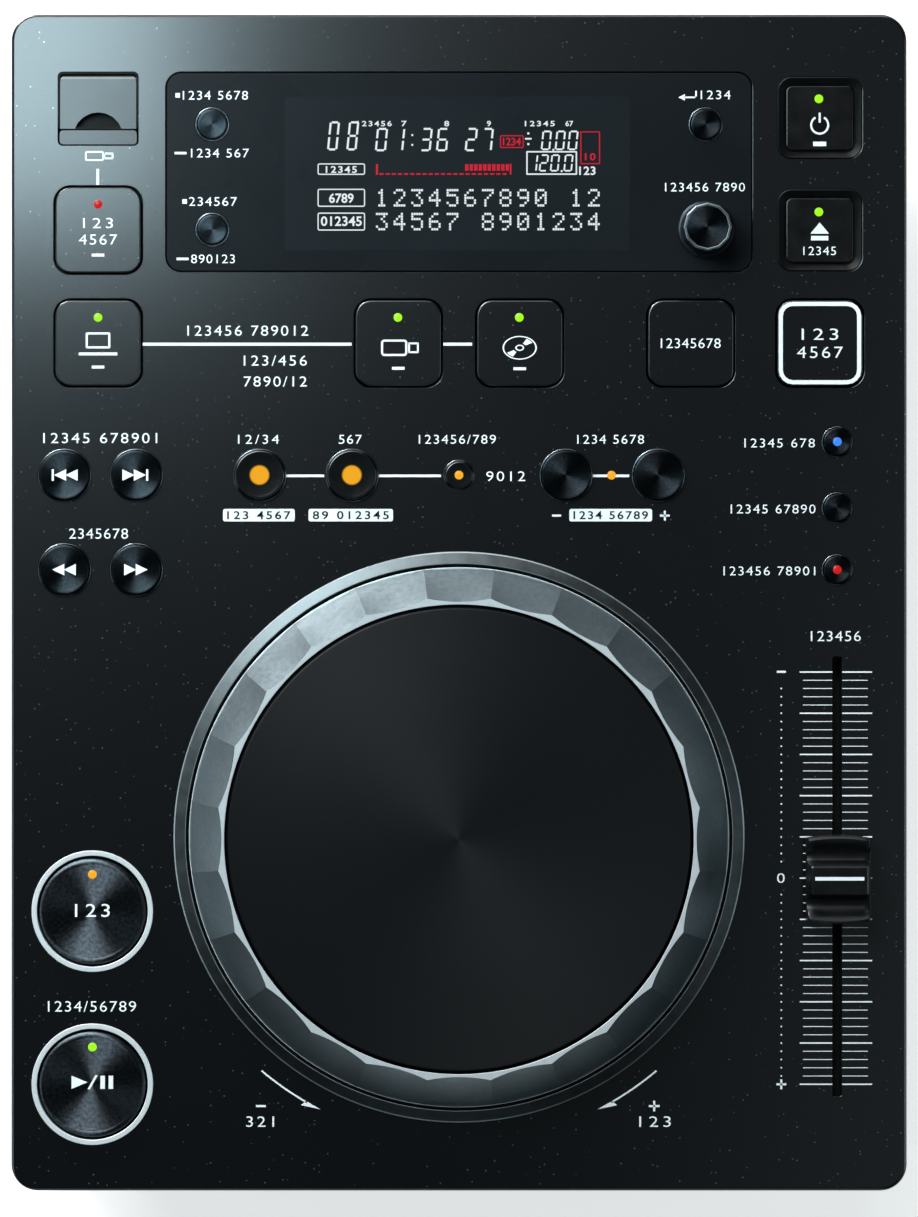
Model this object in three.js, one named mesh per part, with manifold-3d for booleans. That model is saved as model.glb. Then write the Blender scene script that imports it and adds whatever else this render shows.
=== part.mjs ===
// Tabletop disc player: keys, jog wheel and tempo fader over a slot-loading disc drive.
// Millimetres. The origin is on the table under the middle of the body.
// +X points right, +Y points to the rear and +Z points up.

import * as THREE from 'three';
import { mergeVertices } from 'three/addons/utils/BufferGeometryUtils.js';
import Module from 'manifold-3d';

const wasm = await Module();
wasm.setup();

// Body
const bodyWidth = 218.5;
const bodyDepth = 287;
const deckHeight = 92; // table to the top face of the deck
const bodyCornerRadius = 6.5;
const deckBevel = 0.8; // along the deck's outer edge
const deckThickness = 3;
const caseWall = 2.5;
const caseFloor = 2;
const splitHeight = 46; // where the top case meets the bottom case
const splitLine = 0.6; // the bottom case is this much smaller all round

// Clearances and cuts
const seatGap = 0.3; // between two fixed pieces that meet
const capGap = 0.5; // round a key cap in its hole
const runningGap = 0.4; // round a shaft in its bearing
const cutOverrun = 1; // how far a cut runs past the face it opens
const mergeTolerance = 0.0001;

// Feet
const footHeight = 7;
const footRadius = 9;
const footEdge = 1;
const footInset = 20; // body edge to the middle of a foot

// Places of the controls, from the body's edges
const sideColumnInset = 21.25; // side to the outer column of square keys
const cueColumnInset = 19.85; // left side to cue and play
const faderColumnInset = 17.05; // right side to the fader and the small keys over it
const outerSkipInset = 13.05; // left side to the first column of skip keys
const innerSkipInset = 30.55; // left side to the second column of skip keys
const powerRowInset = 25.3; // rear edge to the power key
const powerEjectSpacing = 27.4; // power key to the row of the eject and stop keys
const squareRowGap = 5.75; // between the holes of the stop key and the source key before it
const sourceLoopSpacing = 32.2; // row of source keys to the row of loop keys
const loopSearchSpacing = 23.05; // row of loop keys to the search keys
const vinylLoopSpacing = 8.15; // vinyl mode key to the row of loop keys
const loopRangeSpacing = 7.95; // row of loop keys to the tempo range key
const playRowInset = 26; // front edge to play
const cueRowInset = 68.2; // front edge to cue
const faderFrontInset = 26.2; // front edge to the middle of the fader's cap at its front stop
const faderRearGap = 25.3; // search row to the middle of the cap at its rear stop
const jogFrontInset = 16.7; // front edge to the jog wheel's bezel
const jogLoopGap = 18.65; // bezel to the row of loop keys
const jogSideGap = 4.8; // bezel to the light ring of cue
const sourcePairGap = 7.8; // between the holes of the two middle source keys
const playlistShare = 0.642; // of the way from the middle to the outer column of square keys
const innerLoopShare = 0.3316; // of the way from the middle to the inner skip keys
const outerLoopShare = 0.6175;

// Keys
const keyTravel = 1;
const largeKeyTravel = 1.2;
const keyFlange = 1.1; // how far a key's flange reaches under the edge of its hole
const keyFlangeThickness = 1.2;
const keyChamfer = 0.5;
const squareHole = 21.8;
const squareHoleRadius = 4.2;
const squareCapRise = 0.6; // cap over the deck
const wellWidth = 20.8; // mouth of the sloped well round power and eject
const wellDepth = 20.1;
const wellSlope = 1.6; // the well narrows by this on each side, and drops as far
const wellCornerRadius = 3.6;
const wellCapDrop = 0.7; // cap under the deck
const roundHoleRadius = 6.5;
const roundCapRise = 2;
const panelHoleRadius = 4.2;
const columnHoleRadius = 3.8;
const smallCapRise = 1.2;
const ringRadius = 15; // light ring round cue and play
const ringInnerRadius = 13.5;
const ringRise = 0.4;
const largeCapRise = 0.2;
const smallKeySides = 16;
const roundKeySides = 20;
const largeKeySides = 36;

// Display panel
const panelSideGap = 5.5; // panel's recess to the holes of the outer square keys
const panelRearInset = 14.05; // rear edge to the recess
const panelFrontReach = 10.25; // row of eject to the recess's front edge
const panelCornerRadius = 3.9;
const panelThickness = 2;
const panelLedge = 3.2; // width of the step that the panel's edge lies on
const panelKeyInset = 11.45; // side of the recess to the panel's outer controls
const panelRearRowInset = 12.85; // rear of the recess to the rear row of keys
const panelFrontRowInset = 10.35; // front of the recess to the front row
const moduleKeyGap = 16.15; // display module to the middle of the controls beside it
const moduleEndMargin = 4.95; // recess to the module, front and rear
const holderMargin = 3; // the display's holder is this much smaller all round
const moduleThickness = 5;

// Key board
const boardThickness = 1.6;
const boardDrop = 14.6; // deck to its underside
const boardMargin = 1; // board edge to the case wall
const boardRearInset = 13.5; // body's rear edge to the board's rear edge
const switchSide = 6;
const switchHeight = 3.5;
const bossRadius = 2.2;
const bossInset = 6; // body side to a screw boss
const bossRearRowInset = 38.5; // rear edge to the rear pair of screw bosses
const bossLoopSpacing = 11.05; // row of loop keys to the middle pair
const bossFrontRowInset = 8.5; // front edge to the front pair
const bossSides = 10;

// Select knob and its encoder
const knobSkirtRadius = 6.9;
const knobSkirtHeight = 1.6;
const knobRadius = 6.2; // to the corners of its flats
const knobTopRadius = 5.3;
const knobFlats = 12;
const knobHeight = 11.4;
const knobTopEdge = 0.7;
const knobDish = 0.4;
const knobLift = 1.1; // knob over the panel
const knobTravel = 0.7;
const knobBoreDepth = 8;
const knobSkirtSides = 24;
const encoderSide = 12;
const encoderHeight = 6;
const bushingRadius = 4.6;
const shaftRadius = 3;
const shaftSides = 16;

// Jog wheel
const jogRise = 15.5; // top of the wheel over the deck
const jogLift = 0.6; // underside over the deck
const jogGroove = 1.2; // between the bezel and the wheel's foot
const jogLip = 1; // upright edge under the scoops
const jogSlopeReach = 7.2; // foot to the top edge between two scoops
const jogScoopDepth = 1.4; // of a scoop at its top edge
const jogBaseScoopDepth = 0.4; // of a scoop at its foot
const jogRimWidth = 1.9; // flat rim between the scoops and the well
const jogWall = 3.5; // thickness of the wheel's sloped wall
const jogFloor = 2.5;
const scoopCount = 24;
const stepsPerScoop = 4;
const plateDrop = 0.4; // plate under the wheel's top edge
const plateThickness = 3;
const plateGap = 0.4; // round the plate in its well
const plateBevelReach = 1.3; // how far the bevel runs in over the plate
const plateChamfer = 0.8;
const plateTravel = 0.5;
const platePinRadius = 3;
const platePinLength = 5;
const plateSides = 72;
const bezelWidth = 2.6;
const bezelHeight = 1.6;
const bezelEdge = 0.4;
const bezelSides = 72;
const bearingRadius = 8;
const bearingShoulderRadius = 11.5;
const bearingFlangeRadius = 16;
const bearingFlangeThickness = 2;
const hubRadius = 12;
const hubSides = 24;

// Tempo fader
const faderSlotWidth = 2.4;
const faderStemLength = 5;
const faderStemWidth = 1.4;
const faderStemDepth = 6; // stem below the deck
const faderSlotSpare = 2.3; // slot past the cap's stem at each end
const faderBodyWidth = 12;
const faderBodyEnd = 9; // frame past the slot at each end
const faderCapWidth = 15.5;
const faderCapLength = 21.5;
const faderCapHeight = 10;
const faderCapLift = 1; // cap over the deck
const faderCapSide = 3; // height of the cap's upright ends
const faderRidgeWidth = 12.8;
const faderRidgeLength = 6.9;
const faderEndBulge = 1;
const faderArcSteps = 4;

// Stick socket and its lid
const lidRecessMargin = 1.5; // side of the recess past the socket's well
const lidRecessRearInset = 14.1; // body's rear edge to the recess
const lidRampLength = 4.1; // sloped finger ramp before the lid
const lidRecessCornerRadius = 1.2; // tight, so the raised lid clears it
const lidEndMargin = 1.95; // lid past the well, front and rear
const lidSideGap = 0.55;
const lidThickness = 2.2; // its rear edge is rounded about the hinge axis
const lidCornerRadius = 1.9;
const lidFloorGap = 0.6; // under the closed lid
const lidNotchRadius = 6.1;
const lidNotchDepth = 4;
const lidPinRadius = 0.5;
const lidPinGap = 0.3;
const lidPinReach = 1.2; // pin past the lid's side
const lidTubWall = 1.4;
const socketWellSideGap = 1.1; // round the socket
const socketWellEndGap = 1.2;
const socketWellWall = 1.2;
const socketWellDepth = 10; // deck to the well's lower edge
const socketWidth = 14.4;
const socketLength = 7;
const socketHeight = 14;
const socketWall = 0.7;
const socketFloor = 2;
const socketTongueThickness = 1.9;
const socketTongueMargin = 0.8;
const socketTongueOffset = 0.7;
const socketDrop = 8.2; // deck to the socket's mouth
const pinSides = 12;

// Front panel and disc slot
const frontPanelInset = 14.25; // side of the body to the panel
const frontPanelThickness = 4;
const frontPanelLip = 3; // case floor left under the panel, above the underside
const discPathHeight = 31; // table to the middle of the disc's path
const discRadius = 60;
const slotSpare = 5; // slot wider than the disc
const slotHeight = 5.4;
const slotFlare = 1.2; // widening of the slot at its mouth

// Rear panel
const rearOpeningInset = 19.25; // side of the body to the opening
const rearOpeningDrop = 14; // deck to the opening
const rearOpeningBottom = 15;
const rearPanelRim = 2; // rear panel past the opening's edge
const rearPanelWall = 1.5;
const rearRecessDepth = 9.5; // rear of the body to the panel's face
const jackSpacing = 16;
const jackInset = 28; // left end of the opening to the middle of the jack block
const jackHeight = 50;
const jackBlockDepth = 10;
const jackBlockHeight = 13;
const jackBarrelRadius = 4.2;
const jackBarrelLength = 8;
const jackBoreRadius = 1.7;
const jackBoreDepth = 7;
const jackSides = 16;
const inletInset = 22; // right end of the opening to the middle of the inlet
const inletHeight = 34;
const inletWidth = 22;
const inletRise = 14;
const inletFlange = 2;
const inletFlangeThickness = 1.5;
const inletDepth = 15;
const inletMouthWidth = 16;
const inletMouthHeight = 8;
const inletMouthDepth = 11;
const inletPinSpacing = 8.6;
const inletPinRadius = 1.2;

// Disc drive
const driveWidth = 148;
const driveSheet = 1.2;
const driveSideHeight = 33;
const driveFrontGap = 3; // front panel to the drive
const rollerRadius = 4;
const rollerAxleRadius = 1.5;
const rollerInset = 12; // drive's front to the roller
const rollerEndGap = 3; // roller's rubber to the side of the drive
const rollerClearance = 0.4; // disc slot's lower edge to the top of the roller
const discFrontSpare = 4; // roller to the edge of a loaded disc
const motorRadius = 11;
const motorHeight = 8;
const turntableRadius = 13;
const turntableThickness = 2.2;
const turntableHubRadius = 7.4;
const turntableHubRise = 1;
const turntableDrop = 0.4; // hub's top under the disc's path
const turntableShaftRadius = 1.5;
const railOffset = 21; // spindle line to a rail
const railRadius = 1.5;
const railHeight = 7.5; // drive's sheet to a rail's middle
const railBlockSide = 7;
const railBlockHeight = 11;
const pickupLength = 15;
const pickupHeight = 7.5;
const pickupTravel = 35;
const pickupInnerRadius = 23; // spindle to the lens at the inner stop
const pickupEndGap = 2; // pickup at its outer stop to the rail's rear block
const pickupRailWrap = 2; // pickup past the rail's surface
const lensRadius = 2.5;
const lensRise = 1.6;
const driveSides = 16;

// Main board and power board
const mainBoardSideGap = 6.15; // to the case wall
const mainBoardRearGap = 19; // to the rear panel
const powerBoardSideGap = 20.15;
const powerBoardRearGap = 23;
const boardSpacing = 8; // between the two boards
const boardFrontGap = 6; // disc drive to the boards
const spacerHeight = 5;
const spacerSide = 5;
const spacerInset = 5;
const chipSide = 24;
const chipHeight = 3;
const transformerInset = 10; // front of the board to the transformer
const capacitorInset = 24; // front of the board to the capacitor
const capacitorRadius = 9;
const capacitorHeight = 26;
const transformerWidth = 36;
const transformerDepth = 32;
const transformerHeight = 28;
const capacitorSides = 14;

// Shared counts
const arcSteps = 2; // an extruded arc gets twice as many
const footSides = 16;

// Derived places
const side = bodyWidth / 2;
const rear = bodyDepth / 2;
const deckUnderside = deckHeight - deckThickness;
const boardHeight = deckHeight - boardDrop;
const boardTop = boardHeight + boardThickness;
const panelUnderside = deckHeight - panelThickness;
const floorTop = footHeight + caseFloor;
const ejectRowInset = powerRowInset + powerEjectSpacing;
const sourceRowInset = ejectRowInset + squareHole + squareRowGap;
const loopRowInset = sourceRowInset + sourceLoopSpacing;
const searchRowInset = loopRowInset + loopSearchSpacing;
const sourcePairSpacing = squareHole + sourcePairGap;
const playlistOffset = (side - sideColumnInset) * playlistShare;
const innerLoopOffset = (side - innerSkipInset) * innerLoopShare;
const outerLoopOffset = (side - innerSkipInset) * outerLoopShare;
const jogRoomAcross = side - cueColumnInset - ringRadius - jogSideGap;
const jogRoomAlong = (bodyDepth - loopRowInset - jogLoopGap - jogFrontInset) / 2;
const bezelRadius = Math.min(jogRoomAcross, jogRoomAlong); // the wheel fills the room it has
const jogBaseRadius = bezelRadius - bezelWidth - jogGroove;
const jogRidgeRadius = jogBaseRadius - jogSlopeReach;
const jogWellRadius = jogRidgeRadius - jogRimWidth;
const plateEdgeRadius = jogWellRadius - plateGap;
const plateTopRadius = plateEdgeRadius - plateBevelReach;
const jogY = jogFrontInset + bezelRadius - rear;
const jogTop = deckHeight + jogRise;
const plateTop = jogTop - plateDrop;
const jogFloorTop = plateTop - plateThickness - plateTravel - seatGap;
const jogFloorUnderside = jogFloorTop - jogFloor;
const faderX = side - faderColumnInset;
const faderTravel = bodyDepth - searchRowInset - faderFrontInset - faderRearGap;
const faderY = faderFrontInset + faderTravel / 2 - rear;
const faderSlotLength = faderTravel + faderStemLength + faderSlotSpare;
const panelWidth = bodyWidth - 2 * sideColumnInset - squareHole - 2 * panelSideGap;
const panelDepth = ejectRowInset + panelFrontReach - panelRearInset;
const panelY = rear - panelRearInset - panelDepth / 2;
const panelKeyOffset = panelWidth / 2 - panelKeyInset;
const panelRearRow = panelDepth / 2 - panelRearRowInset;
const panelFrontRow = panelDepth / 2 - panelFrontRowInset;
const moduleWidth = 2 * (panelKeyOffset - moduleKeyGap);
const moduleDepth = panelDepth - 2 * moduleEndMargin;
const knobX = panelKeyOffset;
const knobY = panelY - panelFrontRow;
const socketWellWidth = socketWidth + 2 * socketWellSideGap;
const socketWellLength = socketLength + 2 * socketWellEndGap;
const lidRecessWidth = socketWellWidth + 2 * lidRecessMargin;
const lidLength = socketWellLength + 2 * lidEndMargin;
const lidX = sideColumnInset - side;
const lidRecessRear = rear - lidRecessRearInset;
const lidRear = lidRecessRear - lidSideGap;
const lidFront = lidRear - lidLength;
const lidRampFront = lidFront - lidRampLength;
const lidAxisY = lidRear - lidThickness / 2;
const lidAxisZ = deckHeight - lidThickness / 2;
const lidRecessFloor = deckHeight - lidThickness - lidFloorGap;
const socketY = (lidFront + lidRear) / 2;
const frontPanelWidth = bodyWidth - 2 * frontPanelInset;
const frontPanelBottom = footHeight + frontPanelLip;
const frontPanelTop = splitHeight - seatGap;
const slotWidth = 2 * discRadius + slotSpare;
const driveFront = frontPanelThickness + driveFrontGap - rear;
const spindleY = driveFront + rollerInset + rollerRadius + discFrontSpare + discRadius;
const pickupY = spindleY + pickupInnerRadius;
const railRear = pickupY + pickupTravel + pickupLength / 2 + pickupEndGap + railBlockSide;
const driveRear = railRear + seatGap + driveSheet;
const driveBottom = floorTop + seatGap;
const driveDeck = driveBottom + driveSheet;
const railZ = driveDeck + railHeight;
const railFront = spindleY + motorRadius - railBlockSide;
const boardFront = driveRear + boardFrontGap;
const lowerBoardUnderside = floorTop + seatGap + spacerHeight;
const rearOpeningWidth = bodyWidth - 2 * rearOpeningInset;
const rearOpeningTop = deckHeight - rearOpeningDrop;
const rearPanelFace = rear - rearRecessDepth;
const rearPanelFront = rearPanelFace - rearPanelWall;
const jackOffset = rearOpeningWidth / 2 - jackInset;
const inletOffset = rearOpeningWidth / 2 - inletInset;
const boardRoom = side - splitLine - caseWall - boardSpacing / 2;
const mainBoardWidth = boardRoom - mainBoardSideGap;
const mainBoardDepth = rearPanelFront - boardFront - mainBoardRearGap;
const powerBoardWidth = boardRoom - powerBoardSideGap;
const powerBoardDepth = rearPanelFront - boardFront - powerBoardRearGap;

// Keys by place: each gets its own switch on the key board
const squareKeys = [
  { name: 'usb_stop_button', x: -side + sideColumnInset, y: rear - ejectRowInset },
  { name: 'link_source_button', x: -side + sideColumnInset, y: rear - sourceRowInset },
  { name: 'usb_source_button', x: -sourcePairSpacing / 2, y: rear - sourceRowInset },
  { name: 'disc_source_button', x: sourcePairSpacing / 2, y: rear - sourceRowInset },
  { name: 'playlist_button', x: playlistOffset, y: rear - sourceRowInset },
  { name: 'tempo_lock_button', x: side - sideColumnInset, y: rear - sourceRowInset },
];
const wellKeys = [
  { name: 'power_button', x: side - sideColumnInset, y: rear - powerRowInset },
  { name: 'eject_button', x: side - sideColumnInset, y: rear - ejectRowInset },
];
const panelKeys = [
  { name: 'time_mode_button', x: -panelKeyOffset, y: panelY + panelRearRow },
  { name: 'display_mode_button', x: -panelKeyOffset, y: panelY - panelFrontRow },
  { name: 'back_button', x: panelKeyOffset, y: panelY + panelRearRow },
];
const roundKeys = [
  { name: 'track_back_button', x: outerSkipInset - side, y: rear - loopRowInset },
  { name: 'track_forward_button', x: innerSkipInset - side, y: rear - loopRowInset },
  { name: 'search_back_button', x: outerSkipInset - side, y: rear - searchRowInset },
  { name: 'search_forward_button', x: innerSkipInset - side, y: rear - searchRowInset },
  { name: 'loop_in_button', x: -outerLoopOffset, y: rear - loopRowInset },
  { name: 'loop_out_button', x: -innerLoopOffset, y: rear - loopRowInset },
  { name: 'beat_down_button', x: innerLoopOffset, y: rear - loopRowInset },
  { name: 'beat_up_button', x: outerLoopOffset, y: rear - loopRowInset },
];
const columnKeys = [
  { name: 'reloop_button', x: 0, y: rear - loopRowInset },
  { name: 'vinyl_mode_button', x: faderX, y: rear - loopRowInset + vinylLoopSpacing },
  { name: 'tempo_range_button', x: faderX, y: rear - loopRowInset - loopRangeSpacing },
  { name: 'master_tempo_button', x: faderX, y: rear - searchRowInset },
];
const largeKeys = [
  { name: 'cue_button', ring: 'cue_light_ring', x: cueColumnInset - side, y: cueRowInset - rear },
  { name: 'play_button', ring: 'play_light_ring', x: cueColumnInset - side, y: playRowInset - rear },
];
const everyKey = [...squareKeys, ...wellKeys, ...panelKeys, ...roundKeys, ...columnKeys, ...largeKeys];

// Finishes
function finish(color, roughness, metalness) {
  return new THREE.MeshStandardMaterial({ color, roughness, metalness });
}
const deckPaint = finish(0x15181b, 0.35, 0.2);
const darkPlastic = finish(0x101215, 0.45, 0);
const glossPlastic = finish(0x0a0b0d, 0.12, 0);
const lightPlastic = finish(0xe9ecec, 0.4, 0);
const satinMetal = finish(0x8d989e, 0.35, 0.8);
const darkMetal = finish(0x24282b, 0.3, 0.8);
const steel = finish(0xa9adb0, 0.4, 0.9);
const rubber = finish(0x0c0c0c, 0.9, 0);
const boardGreen = finish(0x1d4a33, 0.5, 0);
const glass = finish(0x1a1d1f, 0.05, 0);

// Solids
function toSolid(geometry) {
  const bare = geometry.clone();
  bare.deleteAttribute('normal');
  bare.deleteAttribute('uv');
  const merged = mergeVertices(bare, mergeTolerance);
  const corners = merged.index.array;
  const kept = [];
  for (let i = 0; i < corners.length; i += 3) {
    const [a, b, c] = [corners[i], corners[i + 1], corners[i + 2]];
    if (a !== b && b !== c && c !== a) kept.push(a, b, c);
  }
  const vertProperties = Float32Array.from(merged.attributes.position.array);
  const triVerts = Uint32Array.from(kept);
  return new wasm.Manifold(new wasm.Mesh({ numProp: 3, vertProperties, triVerts }));
}

function joined(...solids) {
  return solids.reduce((sum, solid) => sum.add(solid));
}

function cut(solid, ...tools) {
  return tools.reduce((rest, tool) => rest.subtract(tool), solid);
}

function roundedOutline(width, depth, radius, x = 0, y = 0) {
  const outline = new THREE.Shape();
  const right = x + width / 2 - radius;
  const left = x - width / 2 + radius;
  const back = y + depth / 2 - radius;
  const front = y - depth / 2 + radius;
  outline.absarc(right, back, radius, 0, Math.PI / 2);
  outline.absarc(left, back, radius, Math.PI / 2, Math.PI);
  outline.absarc(left, front, radius, Math.PI, Math.PI * 1.5);
  outline.absarc(right, front, radius, Math.PI * 1.5, Math.PI * 2);
  return outline;
}

function polygonOutline(points) {
  return new THREE.Shape(points.map(([x, y]) => new THREE.Vector2(x, y)));
}

function extruded(outline, bottom, top, steps = arcSteps) {
  const settings = { depth: top - bottom, curveSegments: steps, bevelEnabled: false };
  return new THREE.ExtrudeGeometry(outline, settings).translate(0, 0, bottom);
}

function prism(outline, bottom, top, steps = arcSteps) {
  return toSolid(extruded(outline, bottom, top, steps));
}

// A rounded block whose top and bottom edges are bevelled
function bevelledBlock({ width, depth, radius, bottom, top, bevel, x = 0, y = 0 }) {
  const outline = roundedOutline(width - 2 * bevel, depth - 2 * bevel, radius - bevel, x, y);
  const settings = {
    depth: top - bottom - 2 * bevel,
    curveSegments: arcSteps,
    bevelThickness: bevel,
    bevelSize: bevel,
    bevelSegments: 1,
  };
  return toSolid(new THREE.ExtrudeGeometry(outline, settings).translate(0, 0, bottom + bevel));
}

// An outline in the YZ plane, drawn as (y, z), that runs along X from left to right
function alongX(outline, left, right, steps = arcSteps) {
  const geometry = extruded(outline, left, right, steps);
  return toSolid(geometry.rotateX(Math.PI / 2).rotateZ(Math.PI / 2));
}

// An outline in the XZ plane, drawn as (-x, z), that runs along Y from front to back
function alongY(outline, front, back, steps = arcSteps) {
  const geometry = extruded(outline, front, back, steps);
  return toSolid(geometry.rotateX(Math.PI / 2).rotateZ(Math.PI));
}

function block(left, right, front, back, bottom, top) {
  const geometry = new THREE.BoxGeometry(right - left, back - front, top - bottom);
  return toSolid(geometry.translate((left + right) / 2, (front + back) / 2, (bottom + top) / 2));
}

function centredBlock(width, depth, bottom, top, x = 0, y = 0) {
  return block(x - width / 2, x + width / 2, y - depth / 2, y + depth / 2, bottom, top);
}

function post(radius, bottom, top, sides, x = 0, y = 0) {
  const geometry = new THREE.CylinderGeometry(radius, radius, top - bottom, sides);
  return toSolid(geometry.rotateX(Math.PI / 2).translate(x, y, (bottom + top) / 2));
}

function rodAlongX(radius, left, right, y, z, sides) {
  const geometry = new THREE.CylinderGeometry(radius, radius, right - left, sides);
  return toSolid(geometry.rotateZ(Math.PI / 2).translate((left + right) / 2, y, z));
}

function rodAlongY(radius, front, back, x, z, sides) {
  const geometry = new THREE.CylinderGeometry(radius, radius, back - front, sides);
  return toSolid(geometry.translate(x, (front + back) / 2, z));
}

// A profile of [radius, height] points turned round an upright axis
function turned(profile, sides, x = 0, y = 0) {
  const points = profile.map(([radius, height]) => new THREE.Vector2(radius, height));
  const geometry = new THREE.LatheGeometry(points, sides);
  return toSolid(geometry.rotateX(Math.PI / 2).translate(x, y, 0));
}

const player = new THREE.Group();

function addPiece(name, solid, material) {
  const { vertProperties, triVerts } = solid.getMesh();
  const geometry = new THREE.BufferGeometry();
  geometry.setAttribute('position', new THREE.BufferAttribute(vertProperties, 3));
  geometry.setIndex(new THREE.BufferAttribute(triVerts, 1));
  geometry.computeVertexNormals();
  const mesh = new THREE.Mesh(geometry, material);
  mesh.name = name;
  player.add(mesh);
}

// Top case: painted deck with its skirt, the holes for every control, a pocket for the lid and screw bosses

function deckHoles() {
  const bottom = deckUnderside - cutOverrun;
  const top = deckHeight + cutOverrun;
  const holes = [];
  for (const { x, y } of squareKeys) {
    holes.push(prism(roundedOutline(squareHole, squareHole, squareHoleRadius, x, y), bottom, top));
  }
  for (const { x, y } of wellKeys) {
    const width = wellWidth - 2 * wellSlope;
    const depth = wellDepth - 2 * wellSlope;
    const outline = roundedOutline(width, depth, wellCornerRadius - wellSlope, x, y);
    holes.push(prism(outline, bottom, top));
    const settings = {
      depth: cutOverrun,
      curveSegments: arcSteps,
      bevelThickness: wellSlope,
      bevelSize: wellSlope,
      bevelSegments: 1,
    };
    holes.push(toSolid(new THREE.ExtrudeGeometry(outline, settings).translate(0, 0, deckHeight)));
  }
  for (const { x, y } of roundKeys) {
    holes.push(post(roundHoleRadius, bottom, top, roundKeySides, x, y));
  }
  for (const { x, y } of columnKeys) {
    holes.push(post(columnHoleRadius, bottom, top, smallKeySides, x, y));
  }
  for (const { x, y } of largeKeys) {
    holes.push(post(ringRadius + seatGap, bottom, top, largeKeySides, x, y));
  }
  holes.push(post(bearingShoulderRadius + seatGap, bottom, top, hubSides, 0, jogY));
  holes.push(centredBlock(faderSlotWidth, faderSlotLength, bottom, top, faderX, faderY));
  return holes;
}

function panelRecess() {
  const openingWidth = panelWidth - 2 * panelLedge;
  const openingDepth = panelDepth - 2 * panelLedge;
  return joined(
    prism(
      roundedOutline(panelWidth, panelDepth, panelCornerRadius, 0, panelY),
      panelUnderside - seatGap,
      deckHeight + cutOverrun,
    ),
    centredBlock(openingWidth, openingDepth, deckUnderside - cutOverrun, deckHeight, 0, panelY),
  );
}

function lidRecess() {
  const over = deckHeight + cutOverrun;
  const middle = (lidRampFront + lidRecessRear) / 2;
  const profile = polygonOutline([
    [lidRampFront, deckHeight],
    [lidFront, lidRecessFloor],
    [lidRecessRear, lidRecessFloor],
    [lidRecessRear, over],
    [lidRampFront, over],
  ]);
  const plan = roundedOutline(
    lidRecessWidth,
    lidRecessRear - lidRampFront,
    lidRecessCornerRadius,
    lidX,
    middle,
  );
  const pocket = alongX(profile, lidX - lidRecessWidth / 2, lidX + lidRecessWidth / 2);
  const pinHoleReach = lidRecessWidth / 2 + lidPinReach;
  return joined(
    pocket.intersect(prism(plan, lidRecessFloor - cutOverrun, over)),
    rodAlongX(
      lidPinRadius + lidPinGap,
      lidX - pinHoleReach,
      lidX + pinHoleReach,
      lidAxisY,
      lidAxisZ,
      pinSides,
    ),
  );
}

function lidTub() {
  const middle = (lidRampFront + lidRecessRear) / 2;
  return centredBlock(
    lidRecessWidth + 2 * lidTubWall,
    lidRecessRear - lidRampFront + 2 * lidTubWall,
    lidRecessFloor - lidTubWall,
    deckUnderside + deckThickness / 2,
    lidX,
    middle,
  );
}

function socketWell(grow, bottom, top) {
  return centredBlock(
    socketWellWidth + 2 * grow,
    socketWellLength + 2 * grow,
    bottom,
    top,
    lidX,
    socketY,
  );
}

function topCase() {
  const outer = bevelledBlock({
    width: bodyWidth,
    depth: bodyDepth,
    radius: bodyCornerRadius,
    bottom: splitHeight - caseWall,
    top: deckHeight,
    bevel: deckBevel,
  });
  const innerOutline = roundedOutline(
    bodyWidth - 2 * caseWall,
    bodyDepth - 2 * caseWall,
    bodyCornerRadius - caseWall,
  );
  const below = block(-side, side, -rear, rear, splitHeight - 2 * caseWall, splitHeight);
  const rearOpening = block(
    -rearOpeningWidth / 2,
    rearOpeningWidth / 2,
    rear - caseWall - cutOverrun,
    rear + cutOverrun,
    splitHeight - cutOverrun,
    rearOpeningTop,
  );
  let solid = cut(outer, prism(innerOutline, splitHeight - 2 * caseWall, deckUnderside), below);
  solid = cut(solid, rearOpening, panelRecess(), ...deckHoles());
  const wellBottom = deckHeight - socketWellDepth;
  const wellTop = deckUnderside + deckThickness / 2;
  solid = joined(solid, lidTub(), socketWell(socketWellWall, wellBottom, wellTop));
  const bossMiddleRow = rear - loopRowInset - bossLoopSpacing;
  for (const y of [rear - bossRearRowInset, bossMiddleRow, bossFrontRowInset - rear]) {
    for (const x of [bossInset - side, side - bossInset]) {
      solid = joined(solid, post(bossRadius, boardTop + seatGap, wellTop, bossSides, x, y));
    }
  }
  return cut(solid, lidRecess(), socketWell(0, wellBottom - cutOverrun, deckHeight));
}

// Bottom case: tray that carries the drive and the boards, open at the front and rear for the two panels

function bottomCase() {
  const top = splitHeight - seatGap;
  const width = bodyWidth - 2 * splitLine;
  const depth = bodyDepth - 2 * splitLine;
  const radius = bodyCornerRadius - splitLine;
  const outer = bevelledBlock({
    width,
    depth,
    radius,
    bottom: footHeight,
    top: top + caseWall,
    bevel: deckBevel,
  });
  const innerOutline = roundedOutline(width - 2 * caseWall, depth - 2 * caseWall, radius - caseWall);
  const above = top + 2 * caseWall;
  const halfFront = frontPanelWidth / 2 + seatGap;
  return cut(
    outer,
    block(-side, side, -rear, rear, top, above),
    prism(innerOutline, floorTop, above),
    block(
      -halfFront,
      halfFront,
      -rear - cutOverrun,
      caseWall + splitLine + cutOverrun - rear,
      frontPanelBottom - seatGap,
      above,
    ),
    block(
      -rearOpeningWidth / 2,
      rearOpeningWidth / 2,
      rear - caseWall - splitLine - cutOverrun,
      rear + cutOverrun,
      rearOpeningBottom,
      above,
    ),
  );
}

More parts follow.
